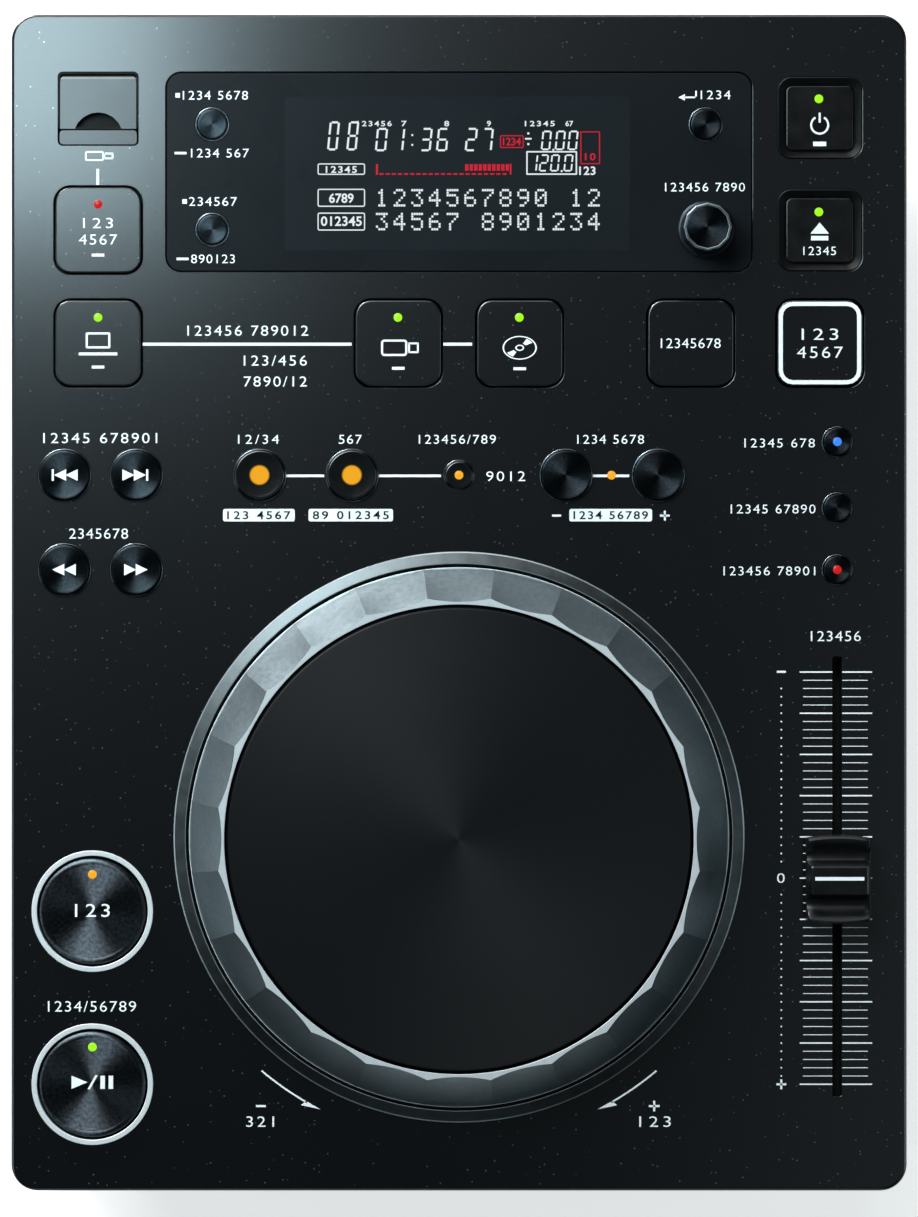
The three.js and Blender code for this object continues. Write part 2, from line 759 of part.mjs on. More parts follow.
function frontPanel() {
  const face = block(
    -frontPanelWidth / 2,
    frontPanelWidth / 2,
    -rear,
    frontPanelThickness - rear,
    frontPanelBottom,
    frontPanelTop,
  );
  const slotBottom = discPathHeight - slotHeight / 2;
  const slotTop = discPathHeight + slotHeight / 2;
  const slot = block(
    -slotWidth / 2,
    slotWidth / 2,
    -rear - cutOverrun,
    frontPanelThickness + cutOverrun - rear,
    slotBottom,
    slotTop,
  );
  const flare = polygonOutline([
    [-rear, slotBottom - slotFlare],
    [slotFlare - rear, slotBottom],
    [slotFlare - rear, slotTop],
    [-rear, slotTop + slotFlare],
    [-rear - cutOverrun, slotTop + slotFlare],
    [-rear - cutOverrun, slotBottom - slotFlare],
  ]);
  return cut(face, slot, alongX(flare, -slotWidth / 2 - slotFlare, slotWidth / 2 + slotFlare));
}

// Rear panel: a shallow tub whose rim meets the inside of the rear walls, so plugs stay inside the body

function rearPanel() {
  const halfOuter = rearOpeningWidth / 2 + rearPanelRim;
  const halfInner = halfOuter - rearPanelWall;
  const rim = rear - splitLine - caseWall - seatGap;
  const bottom = rearOpeningBottom - rearPanelRim;
  const top = rearOpeningTop + rearPanelRim;
  const tub = cut(
    block(-halfOuter, halfOuter, rearPanelFront, rim, bottom, top),
    block(
      -halfInner,
      halfInner,
      rearPanelFace,
      rear,
      bottom + rearPanelWall,
      top - rearPanelWall,
    ),
  );
  const jackHoles = [-1, 1].map((place) =>
    rodAlongY(
      jackBarrelRadius + seatGap,
      rearPanelFront - cutOverrun,
      rearPanelFace + cutOverrun,
      -jackOffset + (place * jackSpacing) / 2,
      jackHeight,
      jackSides,
    ),
  );
  const inletHole = block(
    inletOffset - inletWidth / 2 - seatGap,
    inletOffset + inletWidth / 2 + seatGap,
    rearPanelFront - cutOverrun,
    rearPanelFace + cutOverrun,
    inletHeight - inletRise / 2 - seatGap,
    inletHeight + inletRise / 2 + seatGap,
  );
  return cut(tub, ...jackHoles, inletHole);
}

function audioJacks() {
  const front = rearPanelFront - seatGap - jackBlockDepth;
  const back = rearPanelFront - seatGap;
  const barrelEnd = rearPanelFace + jackBarrelLength;
  let solid = block(
    -jackOffset - jackSpacing,
    -jackOffset + jackSpacing,
    front,
    back,
    jackHeight - jackBlockHeight / 2,
    jackHeight + jackBlockHeight / 2,
  );
  for (const place of [-1, 1]) {
    const x = -jackOffset + (place * jackSpacing) / 2;
    solid = joined(solid, rodAlongY(jackBarrelRadius, back - seatGap, barrelEnd, x, jackHeight, jackSides));
    const bore = rodAlongY(
      jackBoreRadius,
      barrelEnd - jackBoreDepth,
      barrelEnd + cutOverrun,
      x,
      jackHeight,
      pinSides,
    );
    solid = cut(solid, bore);
  }
  return solid;
}

function mainsInlet() {
  const left = inletOffset - inletWidth / 2;
  const right = inletOffset + inletWidth / 2;
  const bottom = inletHeight - inletRise / 2;
  const top = inletHeight + inletRise / 2;
  const flangeFront = rearPanelFace + seatGap;
  const back = flangeFront + inletFlangeThickness;
  const mouthFront = back - inletMouthDepth;
  const mouth = roundedOutline(
    inletMouthWidth,
    inletMouthHeight,
    inletMouthHeight / 2,
    -inletOffset,
    inletHeight,
  );
  let solid = joined(
    block(left, right, rearPanelFront - inletDepth, flangeFront, bottom, top),
    block(
      left - inletFlange,
      right + inletFlange,
      flangeFront,
      back,
      bottom - inletFlange,
      top + inletFlange,
    ),
  );
  solid = cut(solid, alongY(mouth, mouthFront, back + cutOverrun));
  for (const place of [-1, 1]) {
    const x = inletOffset + (place * inletPinSpacing) / 2;
    const pinEnd = back - inletFlangeThickness;
    const pin = rodAlongY(inletPinRadius, mouthFront - cutOverrun, pinEnd, x, inletHeight, pinSides);
    solid = joined(solid, pin);
  }
  return solid;
}

function foot(x, y) {
  const top = footHeight - seatGap;
  const profile = [
    [0, 0],
    [footRadius - footEdge, 0],
    [footRadius, footEdge],
    [footRadius, top],
    [0, top],
  ];
  return turned(profile, footSides, x, y);
}

// Display panel and the display behind it

function displayPanel() {
  const sheet = prism(
    roundedOutline(
      panelWidth - 2 * seatGap,
      panelDepth - 2 * seatGap,
      panelCornerRadius - seatGap,
      0,
      panelY,
    ),
    panelUnderside,
    deckHeight,
  );
  const bottom = panelUnderside - cutOverrun;
  const top = deckHeight + cutOverrun;
  const keyHoles = panelKeys.map(({ x, y }) => post(panelHoleRadius, bottom, top, smallKeySides, x, y));
  return cut(sheet, ...keyHoles, post(shaftRadius + runningGap, bottom, top, shaftSides, knobX, knobY));
}

function displayModule() {
  const top = panelUnderside - seatGap;
  return joined(
    centredBlock(moduleWidth, moduleDepth, top - moduleThickness, top, 0, panelY),
    centredBlock(
      moduleWidth - 2 * holderMargin,
      moduleDepth - 2 * holderMargin,
      boardTop + seatGap,
      top - moduleThickness / 2,
      0,
      panelY,
    ),
  );
}

// Key board: one switch under each key, and a slot that holds the stick socket

function keyBoard() {
  const width = bodyWidth - 2 * caseWall - 2 * boardMargin;
  const front = caseWall + boardMargin - rear;
  const back = rear - boardRearInset;
  const cornerRadius = bodyCornerRadius - caseWall;
  const outline = roundedOutline(width, back - front, cornerRadius, 0, (front + back) / 2);
  const sheet = prism(outline, boardHeight, boardTop);
  const socketHole = centredBlock(
    socketWidth + 2 * seatGap,
    socketLength + 2 * seatGap,
    boardHeight - cutOverrun,
    boardTop + cutOverrun,
    lidX,
    socketY,
  );
  const switches = everyKey.map(({ x, y }) =>
    centredBlock(switchSide, switchSide, boardTop - boardThickness / 2, boardTop + switchHeight, x, y),
  );
  return joined(cut(sheet, socketHole), ...switches);
}

function usbSocket() {
  const mouth = deckHeight - socketDrop;
  const bottom = mouth - socketHeight;
  const shell = centredBlock(socketWidth, socketLength, bottom, mouth, lidX, socketY);
  const cavity = centredBlock(
    socketWidth - 2 * socketWall,
    socketLength - 2 * socketWall,
    bottom + socketFloor,
    mouth + cutOverrun,
    lidX,
    socketY,
  );
  const tongue = centredBlock(
    socketWidth - 2 * socketWall - 2 * socketTongueMargin,
    socketTongueThickness,
    bottom + socketFloor / 2,
    mouth - socketWall,
    lidX,
    socketY + socketTongueOffset,
  );
  return joined(cut(shell, cavity), tongue);
}

function usbLid() {
  const width = lidRecessWidth - 2 * lidSideGap;
  const notchCentre = lidFront + lidNotchDepth - lidNotchRadius;
  const plan = roundedOutline(width, lidLength, lidCornerRadius, lidX, (lidFront + lidRear) / 2);
  const plate = prism(plan, deckHeight - lidThickness, deckHeight);
  const squareFront = centredBlock(
    width,
    lidCornerRadius,
    deckHeight - lidThickness,
    deckHeight,
    lidX,
    lidFront + lidCornerRadius / 2,
  );
  const notch = post(
    lidNotchRadius,
    deckHeight - lidThickness - cutOverrun,
    deckHeight + cutOverrun,
    roundKeySides,
    lidX,
    notchCentre,
  );
  const section = joined(
    rodAlongX(lidThickness / 2, lidX - width, lidX + width, lidAxisY, lidAxisZ, roundKeySides),
    block(lidX - width, lidX + width, lidFront, lidAxisY, deckHeight - lidThickness, deckHeight),
  );
  const pin = rodAlongX(
    lidPinRadius,
    lidX - width / 2 - lidPinReach,
    lidX + width / 2 + lidPinReach,
    lidAxisY,
    lidAxisZ,
    pinSides,
  );
  return joined(cut(joined(plate, squareFront).intersect(section), notch), pin);
}

// Keys: a cap in its hole, and a wider body below that keeps it in and rests over the switch

function stemBottom(travel) {
  return boardTop + switchHeight + seatGap + travel;
}

function roundKey({ x, y }, capRadius, capTop, holderUnderside, sides) {
  const flangeTop = holderUnderside - seatGap;
  const flangeRadius = capRadius + capGap + keyFlange;
  const profile = [
    [0, stemBottom(keyTravel)],
    [flangeRadius, stemBottom(keyTravel)],
    [flangeRadius, flangeTop],
    [capRadius, flangeTop],
    [capRadius, capTop - keyChamfer],
    [capRadius - keyChamfer, capTop],
    [0, capTop],
  ];
  return turned(profile, sides, x, y);
}

function squareKey({ x, y }, width, depth, radius, capTop) {
  const flangeTop = deckUnderside - seatGap;
  const flangeWidth = width + 2 * capGap + 2 * keyFlange;
  const flangeDepth = depth + 2 * capGap + 2 * keyFlange;
  return joined(
    centredBlock(flangeWidth, flangeDepth, flangeTop - keyFlangeThickness, flangeTop, x, y),
    centredBlock(switchSide, switchSide, stemBottom(keyTravel), flangeTop, x, y),
    bevelledBlock({
      width,
      depth,
      radius,
      bottom: flangeTop - keyFlangeThickness / 2,
      top: capTop,
      bevel: keyChamfer,
      x,
      y,
    }),
  );
}

function lightRing({ x, y }) {
  const flangeTop = deckUnderside - seatGap;
  const bottom = flangeTop - keyFlangeThickness;
  const top = deckHeight + ringRise;
  const profile = [
    [ringInnerRadius, bottom],
    [ringRadius + keyFlange, bottom],
    [ringRadius + keyFlange, flangeTop],
    [ringRadius, flangeTop],
    [ringRadius, top],
    [ringInnerRadius, top],
    [ringInnerRadius, bottom],
  ];
  return turned(profile, largeKeySides, x, y);
}

function largeKey({ x, y }) {
  const ringUnderside = deckUnderside - seatGap - keyFlangeThickness;
  const flangeTop = ringUnderside - seatGap;
  const capRadius = ringInnerRadius - capGap;
  const capTop = deckHeight + largeCapRise;
  const bottom = stemBottom(largeKeyTravel);
  const profile = [
    [0, bottom],
    [capRadius + keyFlange, bottom],
    [capRadius + keyFlange, flangeTop],
    [capRadius, flangeTop],
    [capRadius, capTop - keyChamfer],
    [capRadius - keyChamfer, capTop],
    [0, capTop],
  ];
  return turned(profile, largeKeySides, x, y);
}

// Select knob on a push-turn encoder

function encoderBody() {
  const bottom = boardTop + seatGap;
  const bushingTop = panelUnderside - seatGap;
  return cut(
    joined(
      centredBlock(encoderSide, encoderSide, bottom, bottom + encoderHeight, knobX, knobY),
      post(bushingRadius, bottom + encoderHeight / 2, bushingTop, shaftSides, knobX, knobY),
    ),
    post(
      shaftRadius + runningGap,
      bottom + knobTravel,
      bushingTop + cutOverrun,
      shaftSides,
      knobX,
      knobY,
    ),
  );
}

function encoderShaft() {
  const bottom = boardTop + 2 * seatGap + 2 * knobTravel;
  const top = deckHeight + knobLift + knobBoreDepth - seatGap;
  return post(shaftRadius, bottom, top, shaftSides, knobX, knobY);
}

function selectKnob() {
  const bottom = deckHeight + knobLift;
  const top = bottom + knobHeight;
  const flats = turned(
    [
      [0, bottom],
      [knobRadius, bottom],
      [knobRadius, top - knobTopEdge],
      [knobTopRadius, top],
      [knobTopRadius - knobTopEdge, top],
      [knobTopRadius - 2 * knobTopEdge, top - knobDish],
      [0, top - knobDish],
    ],
    knobFlats,
    knobX,
    knobY,
  );
  const skirt = post(knobSkirtRadius, bottom, bottom + knobSkirtHeight, knobSkirtSides, knobX, knobY);
  const bore = post(
    shaftRadius + seatGap,
    bottom - cutOverrun,
    bottom + knobBoreDepth,
    shaftSides,
    knobX,
    knobY,
  );
  return cut(joined(flats, skirt), bore);
}

// Jog wheel: bezel on the deck, scooped ring on a bearing post, and a top plate that can be pressed

// The scoops are deepest midway between two ridges, and each ridge keeps the full radius
function scoopShare(step) {
  const place = (step % stepsPerScoop) / stepsPerScoop;
  return 1 - (2 * place - 1) ** 2;
}

// One ring of points for each corner of the wall's section, with the scoops in two of them
function scoopedWall() {
  const bottom = deckHeight + jogLift;
  const corners = [
    { radius: jogBaseRadius - jogWall, height: bottom, scoop: 0 },
    { radius: jogBaseRadius, height: bottom, scoop: 0 },
    { radius: jogBaseRadius, height: bottom + jogLip, scoop: jogBaseScoopDepth },
    { radius: jogRidgeRadius, height: jogTop, scoop: jogScoopDepth },
    { radius: jogWellRadius, height: jogTop, scoop: 0 },
    { radius: jogWellRadius, height: jogFloorTop, scoop: 0 },
    { radius: jogWellRadius - jogWall / 2, height: jogFloorUnderside, scoop: 0 },
  ];
  const steps = scoopCount * stepsPerScoop;
  const positions = [];
  for (let step = 0; step < steps; step += 1) {
    const angle = ((step / stepsPerScoop + 1 / 2) / scoopCount) * Math.PI * 2;
    for (const { radius, height, scoop } of corners) {
      const reach = radius - scoop * scoopShare(step);
      positions.push(Math.cos(angle) * reach, jogY + Math.sin(angle) * reach, height);
    }
  }
  const faces = [];
  const rings = corners.length;
  for (let step = 0; step < steps; step += 1) {
    const here = step * rings;
    const next = ((step + 1) % steps) * rings;
    for (let i = 0; i < rings; i += 1) {
      const j = (i + 1) % rings;
      faces.push(here + i, next + i, next + j);
      faces.push(here + i, next + j, here + j);
    }
  }
  const geometry = new THREE.BufferGeometry();
  geometry.setAttribute('position', new THREE.Float32BufferAttribute(positions, 3));
  geometry.setIndex(faces);
  return toSolid(geometry);
}

function jogRing() {
  const hubBottom = deckHeight + jogLift + seatGap;
  const floorReach = jogWellRadius + jogWall / 2;
  const floor = turned(
    [
      [platePinRadius + runningGap, jogFloorTop],
      [platePinRadius + runningGap, jogFloorUnderside],
      [bearingRadius + runningGap, jogFloorUnderside],
      [bearingRadius + runningGap, hubBottom],
      [hubRadius, hubBottom],
      [hubRadius, jogFloorUnderside],
      [floorReach, jogFloorUnderside],
      [floorReach, jogFloorTop],
      [platePinRadius + runningGap, jogFloorTop],
    ],
    hubSides,
    0,
    jogY,
  );
  return joined(scoopedWall(), floor);
}

function jogPlate() {
  const bottom = plateTop - plateThickness;
  const sheet = turned(
    [
      [0, bottom],
      [plateEdgeRadius, bottom],
      [plateEdgeRadius, plateTop - plateChamfer],
      [plateTopRadius, plateTop],
      [0, plateTop],
    ],
    plateSides,
    0,
    jogY,
  );
  const pinBottom = bottom - platePinLength / 2;
  return joined(sheet, post(platePinRadius, pinBottom, bottom + plateThickness / 2, pinSides, 0, jogY));
}

function jogBearing() {
  const flangeTop = deckUnderside - seatGap;
  const shoulder = deckHeight + jogLift;
  return turned(
    [
      [0, flangeTop - bearingFlangeThickness],
      [bearingFlangeRadius, flangeTop - bearingFlangeThickness],
      [bearingFlangeRadius, flangeTop],
      [bearingShoulderRadius, flangeTop],
      [bearingShoulderRadius, shoulder],
      [bearingRadius, shoulder],
      [bearingRadius, jogFloorUnderside - seatGap],
      [0, jogFloorUnderside - seatGap],
    ],
    hubSides,
    0,
    jogY,
  );
}

function jogBezel() {
  const bottom = deckHeight + seatGap;
  const top = deckHeight + bezelHeight;
  const inner = bezelRadius - bezelWidth;
  return turned(
    [
      [inner, bottom],
      [bezelRadius, bottom],
      [bezelRadius, top - bezelEdge],
      [bezelRadius - bezelEdge, top],
      [inner, top],
      [inner, bottom],
    ],
    bezelSides,
    0,
    jogY,
  );
}

// Tempo fader: a slide potentiometer under the deck and the cap on its stem

function faderBody() {
  const bottom = boardTop + seatGap;
  const top = deckUnderside - seatGap;
  const length = faderSlotLength + 2 * faderBodyEnd;
  const cavityBottom = deckUnderside - faderStemDepth - seatGap - runningGap;
  return cut(
    centredBlock(faderBodyWidth, length, bottom, top, faderX, faderY),
    centredBlock(faderSlotWidth, faderSlotLength, cavityBottom, top + cutOverrun, faderX, faderY),
  );
}

function faderCap() {
  const bottom = deckHeight + faderCapLift;
  const top = bottom + faderCapHeight;
  const half = faderCapLength / 2;
  const ridge = faderRidgeLength / 2;
  const scoopFoot = bottom + faderCapSide;
  const outline = new THREE.Shape();
  outline.moveTo(faderY - half, bottom);
  outline.lineTo(faderY + half, bottom);
  outline.lineTo(faderY + half, scoopFoot);
  outline.quadraticCurveTo(faderY + ridge + faderEndBulge, scoopFoot, faderY + ridge, top);
  outline.lineTo(faderY - ridge, top);
  outline.quadraticCurveTo(faderY - ridge - faderEndBulge, scoopFoot, faderY - half, scoopFoot);
  const lengthwise = alongX(
    outline,
    faderX - faderCapWidth / 2,
    faderX + faderCapWidth / 2,
    faderArcSteps,
  );
  const taper = polygonOutline([
    [-faderX - faderCapWidth / 2, bottom],
    [-faderX + faderCapWidth / 2, bottom],
    [-faderX + faderRidgeWidth / 2, top],
    [-faderX - faderRidgeWidth / 2, top],
  ]);
  const plan = new THREE.Shape();
  const left = faderX - faderCapWidth / 2;
  const right = faderX + faderCapWidth / 2;
  const shoulder = half - faderEndBulge;
  plan.moveTo(left, faderY - shoulder);
  plan.quadraticCurveTo(faderX, faderY - half - faderEndBulge, right, faderY - shoulder);
  plan.lineTo(right, faderY + shoulder);
  plan.quadraticCurveTo(faderX, faderY + half + faderEndBulge, left, faderY + shoulder);
  const stem = centredBlock(
    faderStemWidth,
    faderStemLength,
    deckUnderside - faderStemDepth,
    bottom + faderCapSide / 2,
    faderX,
    faderY,
  );
  return joined(
    lengthwise
      .intersect(alongY(taper, faderY - half - cutOverrun, faderY + half + cutOverrun))
      .intersect(prism(plan, bottom, top, faderArcSteps)),
    stem,
  );
}

// Disc drive: folded steel tray, loading roller, spindle, and a pickup on a rail and a lead screw

const slotBottomZ = discPathHeight - slotHeight / 2;
const rollerY = driveFront + rollerInset;
const rollerZ = slotBottomZ - rollerClearance - rollerRadius;
const turntableTop = slotBottomZ - turntableDrop - turntableHubRise;
const turntableBottom = turntableTop - turntableThickness;
const motorTop = driveDeck + seatGap + motorHeight;
const pickupTop = railZ + pickupHeight / 2;

function driveChassis() {
  const half = driveWidth / 2;
  const inner = half - driveSheet;
  let solid = cut(
    block(-half, half, driveFront, driveRear, driveBottom, driveBottom + driveSideHeight),
    block(
      -inner,
      inner,
      driveFront - cutOverrun,
      driveRear - driveSheet,
      driveDeck,
      driveBottom + driveSideHeight + cutOverrun,
    ),
  );
  for (const x of [-railOffset, railOffset]) {
    for (const y of [railFront, railRear - railBlockSide]) {
      solid = joined(
        solid,
        block(
          x - railBlockSide / 2,
          x + railBlockSide / 2,
          y,
          y + railBlockSide,
          driveDeck - driveSheet / 2,
          driveDeck + railBlockHeight,
        ),
      );
    }
    const railHole = rodAlongY(
      railRadius + seatGap,
      railFront + railBlockSide / 2 - seatGap,
      railRear - railBlockSide / 2 + seatGap,
      x,
      railZ,
      pinSides,
    );
    solid = cut(solid, railHole);
  }
  const axleHole = rodAlongX(
    rollerAxleRadius + seatGap,
    -half - cutOverrun,
    half + cutOverrun,
    rollerY,
    rollerZ,
    pinSides,
  );
  return cut(solid, axleHole);
}

function loadingRoller() {
  const half = driveWidth / 2 - driveSheet - rollerEndGap;
  return joined(
    rodAlongX(rollerRadius, -half, half, rollerY, rollerZ, driveSides),
    rodAlongX(rollerAxleRadius, -driveWidth / 2, driveWidth / 2, rollerY, rollerZ, pinSides),
  );
}

function spindleMotor() {
  const bore = post(
    turntableShaftRadius + seatGap,
    driveDeck + 2 * seatGap,
    motorTop + cutOverrun,
    pinSides,
    0,
    spindleY,
  );
  return cut(post(motorRadius, driveDeck + seatGap, motorTop, driveSides, 0, spindleY), bore);
}

function discTurntable() {
  return turned(
    [
      [0, driveDeck + 3 * seatGap],
      [turntableShaftRadius, driveDeck + 3 * seatGap],
      [turntableShaftRadius, turntableBottom],
      [turntableRadius, turntableBottom],
      [turntableRadius, turntableTop],
      [turntableHubRadius, turntableTop],
      [turntableHubRadius - turntableHubRise, turntableTop + turntableHubRise],
      [0, turntableTop + turntableHubRise],
    ],
    driveSides,
    0,
    spindleY,
  );
}

function rail(x) {
  const front = railFront + railBlockSide / 2;
  const back = railRear - railBlockSide / 2;
  return rodAlongY(railRadius, front, back, x, railZ, pinSides);
}

function opticalPickup() {
  const half = railOffset + railRadius + pickupRailWrap;
  const front = pickupY - pickupLength / 2;
  const back = pickupY + pickupLength / 2;
  const bodyBlock = block(-half, half, front, back, railZ - pickupHeight / 2, pickupTop);
  const grooves = [-railOffset, railOffset].map((x) =>
    rodAlongY(railRadius + runningGap, front - cutOverrun, back + cutOverrun, x, railZ, pinSides),
  );
  const lens = post(lensRadius, railZ, pickupTop + lensRise, driveSides, 0, pickupY);
  return joined(cut(bodyBlock, ...grooves), lens);
}

// Lower boards: each stands on its own spacers on the case floor

function lowerBoard(left, width, depth) {
  const right = left + width;
  const back = boardFront + depth;
  const top = lowerBoardUnderside + boardThickness;
  let solid = block(left, right, boardFront, back, lowerBoardUnderside, top);
  for (const x of [left + spacerInset, right - spacerInset]) {
    for (const y of [boardFront + spacerInset, back - spacerInset]) {
      const spacer = centredBlock(
        spacerSide,
        spacerSide,
        floorTop + seatGap,
        lowerBoardUnderside + boardThickness / 2,
        x,
        y,
      );
      solid = joined(solid, spacer);
    }
  }
  return solid;
}

function mainBoard() {
  const left = -boardSpacing / 2 - mainBoardWidth;
  const base = lowerBoardUnderside + boardThickness / 2;
  const chipTop = lowerBoardUnderside + boardThickness + chipHeight;
  const x = left + mainBoardWidth / 2;
  const y = boardFront + mainBoardDepth / 2;
  return joined(
    lowerBoard(left, mainBoardWidth, mainBoardDepth),
    centredBlock(chipSide, chipSide, base, chipTop, x - chipSide, y),
    centredBlock(chipSide, chipSide, base, chipTop, x + chipSide, y + chipSide / 2),
  );
}

function powerBoard() {
  const left = boardSpacing / 2;
  const base = lowerBoardUnderside + boardThickness / 2;
  const x = left + powerBoardWidth / 2;
  const transformerY = boardFront + transformerInset + transformerDepth / 2;
  const capacitorX = x - transformerWidth / 2 - capacitorRadius;
  const capacitorY = boardFront + capacitorInset + capacitorRadius;
  return joined(
    lowerBoard(left, powerBoardWidth, powerBoardDepth),
    centredBlock(
      transformerWidth,
      transformerDepth,
      base,
      base + transformerHeight,
      x + transformerWidth / 4,
      transformerY,
    ),
    post(capacitorRadius, base, base + capacitorHeight, capacitorSides, capacitorX, capacitorY),
  );
}

// Assembly
addPiece('top_case', topCase(), deckPaint);
addPiece('bottom_case', bottomCase(), darkPlastic);
addPiece('front_panel', frontPanel(), darkPlastic);
addPiece('rear_panel', rearPanel(), darkPlastic);
for (const [rowName, y] of [['front', footInset - rear], ['rear', rear - footInset]]) {
  addPiece(`foot_${rowName}_left`, foot(footInset - side, y), rubber);
  addPiece(`foot_${rowName}_right`, foot(side - footInset, y), rubber);
}
addPiece('display_panel', displayPanel(), glossPlastic);
addPiece('display_module', displayModule(), glass);
addPiece('key_board', keyBoard(), boardGreen);
addPiece('main_board', mainBoard(), boardGreen);
addPiece('power_board', powerBoard(), boardGreen);
addPiece('drive_chassis', driveChassis(), steel);
addPiece('loading_roller', loadingRoller(), rubber);
addPiece('spindle_motor', spindleMotor(), steel);
addPiece('disc_turntable', discTurntable(), darkPlastic);
addPiece('pickup_rail', rail(-railOffset), steel);
addPiece('lead_screw', rail(railOffset), steel);
addPiece('optical_pickup', opticalPickup(), darkPlastic);
addPiece('jog_bearing', jogBearing(), steel);
addPiece('jog_bezel', jogBezel(), satinMetal);
addPiece('jog_ring', jogRing(), satinMetal);
addPiece('jog_plate', jogPlate(), darkMetal);
addPiece('fader_body', faderBody(), steel);
addPiece('fader_cap', faderCap(), darkPlastic);
addPiece('usb_socket', usbSocket(), steel);
addPiece('usb_lid', usbLid(), deckPaint);
addPiece('encoder_body', encoderBody(), steel);
addPiece('encoder_shaft', encoderShaft(), steel);
addPiece('select_knob', selectKnob(), darkPlastic);
addPiece('audio_jacks', audioJacks(), darkPlastic);
addPiece('mains_inlet', mainsInlet(), darkPlastic);
for (const key of squareKeys) {
  const width = squareHole - 2 * capGap;
  const solid = squareKey(key, width, width, squareHoleRadius - capGap, deckHeight + squareCapRise);
  addPiece(key.name, solid, darkPlastic);
}
for (const key of wellKeys) {
  const inset = 2 * wellSlope + 2 * capGap;
  const radius = wellCornerRadius - wellSlope - capGap;
  const solid = squareKey(key, wellWidth - inset, wellDepth - inset, radius, deckHeight - wellCapDrop);
  addPiece(key.name, solid, darkPlastic);
}
for (const key of panelKeys) {
  const top = deckHeight + smallCapRise;
  const solid = roundKey(key, panelHoleRadius - capGap, top, panelUnderside, smallKeySides);
  addPiece(key.name, solid, darkPlastic);
}
for (const key of roundKeys) {
  const top = deckHeight + roundCapRise;
  const solid = roundKey(key, roundHoleRadius - capGap, top, deckUnderside, roundKeySides);
  addPiece(key.name, solid, darkPlastic);
}
for (const key of columnKeys) {
  const top = deckHeight + smallCapRise;
  const solid = roundKey(key, columnHoleRadius - capGap, top, deckUnderside, smallKeySides);
  addPiece(key.name, solid, darkPlastic);
}
for (const key of largeKeys) {
  addPiece(key.ring, lightRing(key), lightPlastic);
  addPiece(key.name, largeKey(key), darkMetal);
}

export default player;
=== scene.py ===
import math

import bmesh
import bpy
from mathutils import Matrix, Vector


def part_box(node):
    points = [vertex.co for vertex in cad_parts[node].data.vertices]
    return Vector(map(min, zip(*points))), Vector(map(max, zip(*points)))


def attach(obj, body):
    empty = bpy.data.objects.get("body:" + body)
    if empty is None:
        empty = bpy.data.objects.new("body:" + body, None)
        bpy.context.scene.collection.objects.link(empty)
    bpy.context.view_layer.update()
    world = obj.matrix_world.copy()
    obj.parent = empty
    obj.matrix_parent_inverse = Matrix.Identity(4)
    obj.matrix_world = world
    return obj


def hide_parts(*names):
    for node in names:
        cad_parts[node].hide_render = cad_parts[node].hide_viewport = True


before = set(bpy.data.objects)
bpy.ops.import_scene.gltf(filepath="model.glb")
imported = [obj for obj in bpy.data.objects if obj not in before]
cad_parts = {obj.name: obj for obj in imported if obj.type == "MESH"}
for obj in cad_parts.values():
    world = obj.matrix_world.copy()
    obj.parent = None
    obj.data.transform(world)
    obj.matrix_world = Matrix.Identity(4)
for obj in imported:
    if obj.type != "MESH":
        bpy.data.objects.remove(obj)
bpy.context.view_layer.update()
scene = bpy.context.scene
MM = 0.001

# Camera: straight above the deck, far enough off that the raised controls lean out only a little, as they do
# in the photograph. Its lens takes in the width and height that the picture shows at the deck.
CAMERA_ABOVE_DECK = 1500.0
VIEW_HEIGHT = 296.8
VIEW_MIDDLE = (0.0, -1.46)
SENSOR = 36.0


def place_of(node):
    """A CAD node's middle and size seen from above, and its lowest and highest level, in millimetres."""
    low, high = ([place / MM for place in corner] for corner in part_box(node))
    middle = tuple(round((low[axis] + high[axis]) / 2, 3) for axis in (0, 1))
    size = tuple(round(high[axis] - low[axis], 3) for axis in (0, 1))
    return middle, size, round(low[2], 3), round(high[2], 3)


DECK_TOP = place_of("top_case")[3]
lens_and_sensor = bpy.data.cameras.new("camera_above")
lens_and_sensor.sensor_fit = "VERTICAL"
lens_and_sensor.sensor_height = SENSOR
lens_and_sensor.sensor_width = SENSOR
lens_and_sensor.lens = SENSOR * CAMERA_ABOVE_DECK / VIEW_HEIGHT
lens_and_sensor.clip_end = 20.0
camera = bpy.data.objects.new("camera_above", lens_and_sensor)
camera.location = (*(MM * place for place in VIEW_MIDDLE), MM * (DECK_TOP + CAMERA_ABOVE_DECK))
scene.collection.objects.link(camera)
scene.camera = camera
scene.view_settings.view_transform = "Standard"
scene.view_settings.look = "None"

# Feet: four turned pads of soft black rubber, pressed into the bottom case.
# The rubber is dull and slightly dusty, with a fine moulded grain and rounded lower edges.
NOISE_SPAN = (0.3, 0.7)  # nearly all of a noise texture's values lie between these
LEVEL = 0.9999  # a face whose normal rises by more than this lies level
SAME = 0.001  # places that are less than this apart are one place


def srgb(code):
    """An sRGB hex value as the linear colour that a shader takes."""
    levels = [int(code[start:start + 2], 16) / 255 for start in (0, 2, 4)]
    linear = [low / 12.92 if low <= 0.04045 else ((low + 0.055) / 1.055) ** 2.4 for low in levels]
    return (*linear, 1.0)


def add(tree, kind, settings=None, inputs=None):
    """Adds one shader node; an input that is a socket is linked, any other is set."""
    made = tree.nodes.new("ShaderNode" + kind)
    for key, value in (settings or {}).items():
        setattr(made, key, value)
    for key, value in (inputs or {}).items():
        if isinstance(value, bpy.types.NodeSocket):
            tree.links.new(value, made.inputs[key])
        else:
            made.inputs[key].default_value = value
    return made


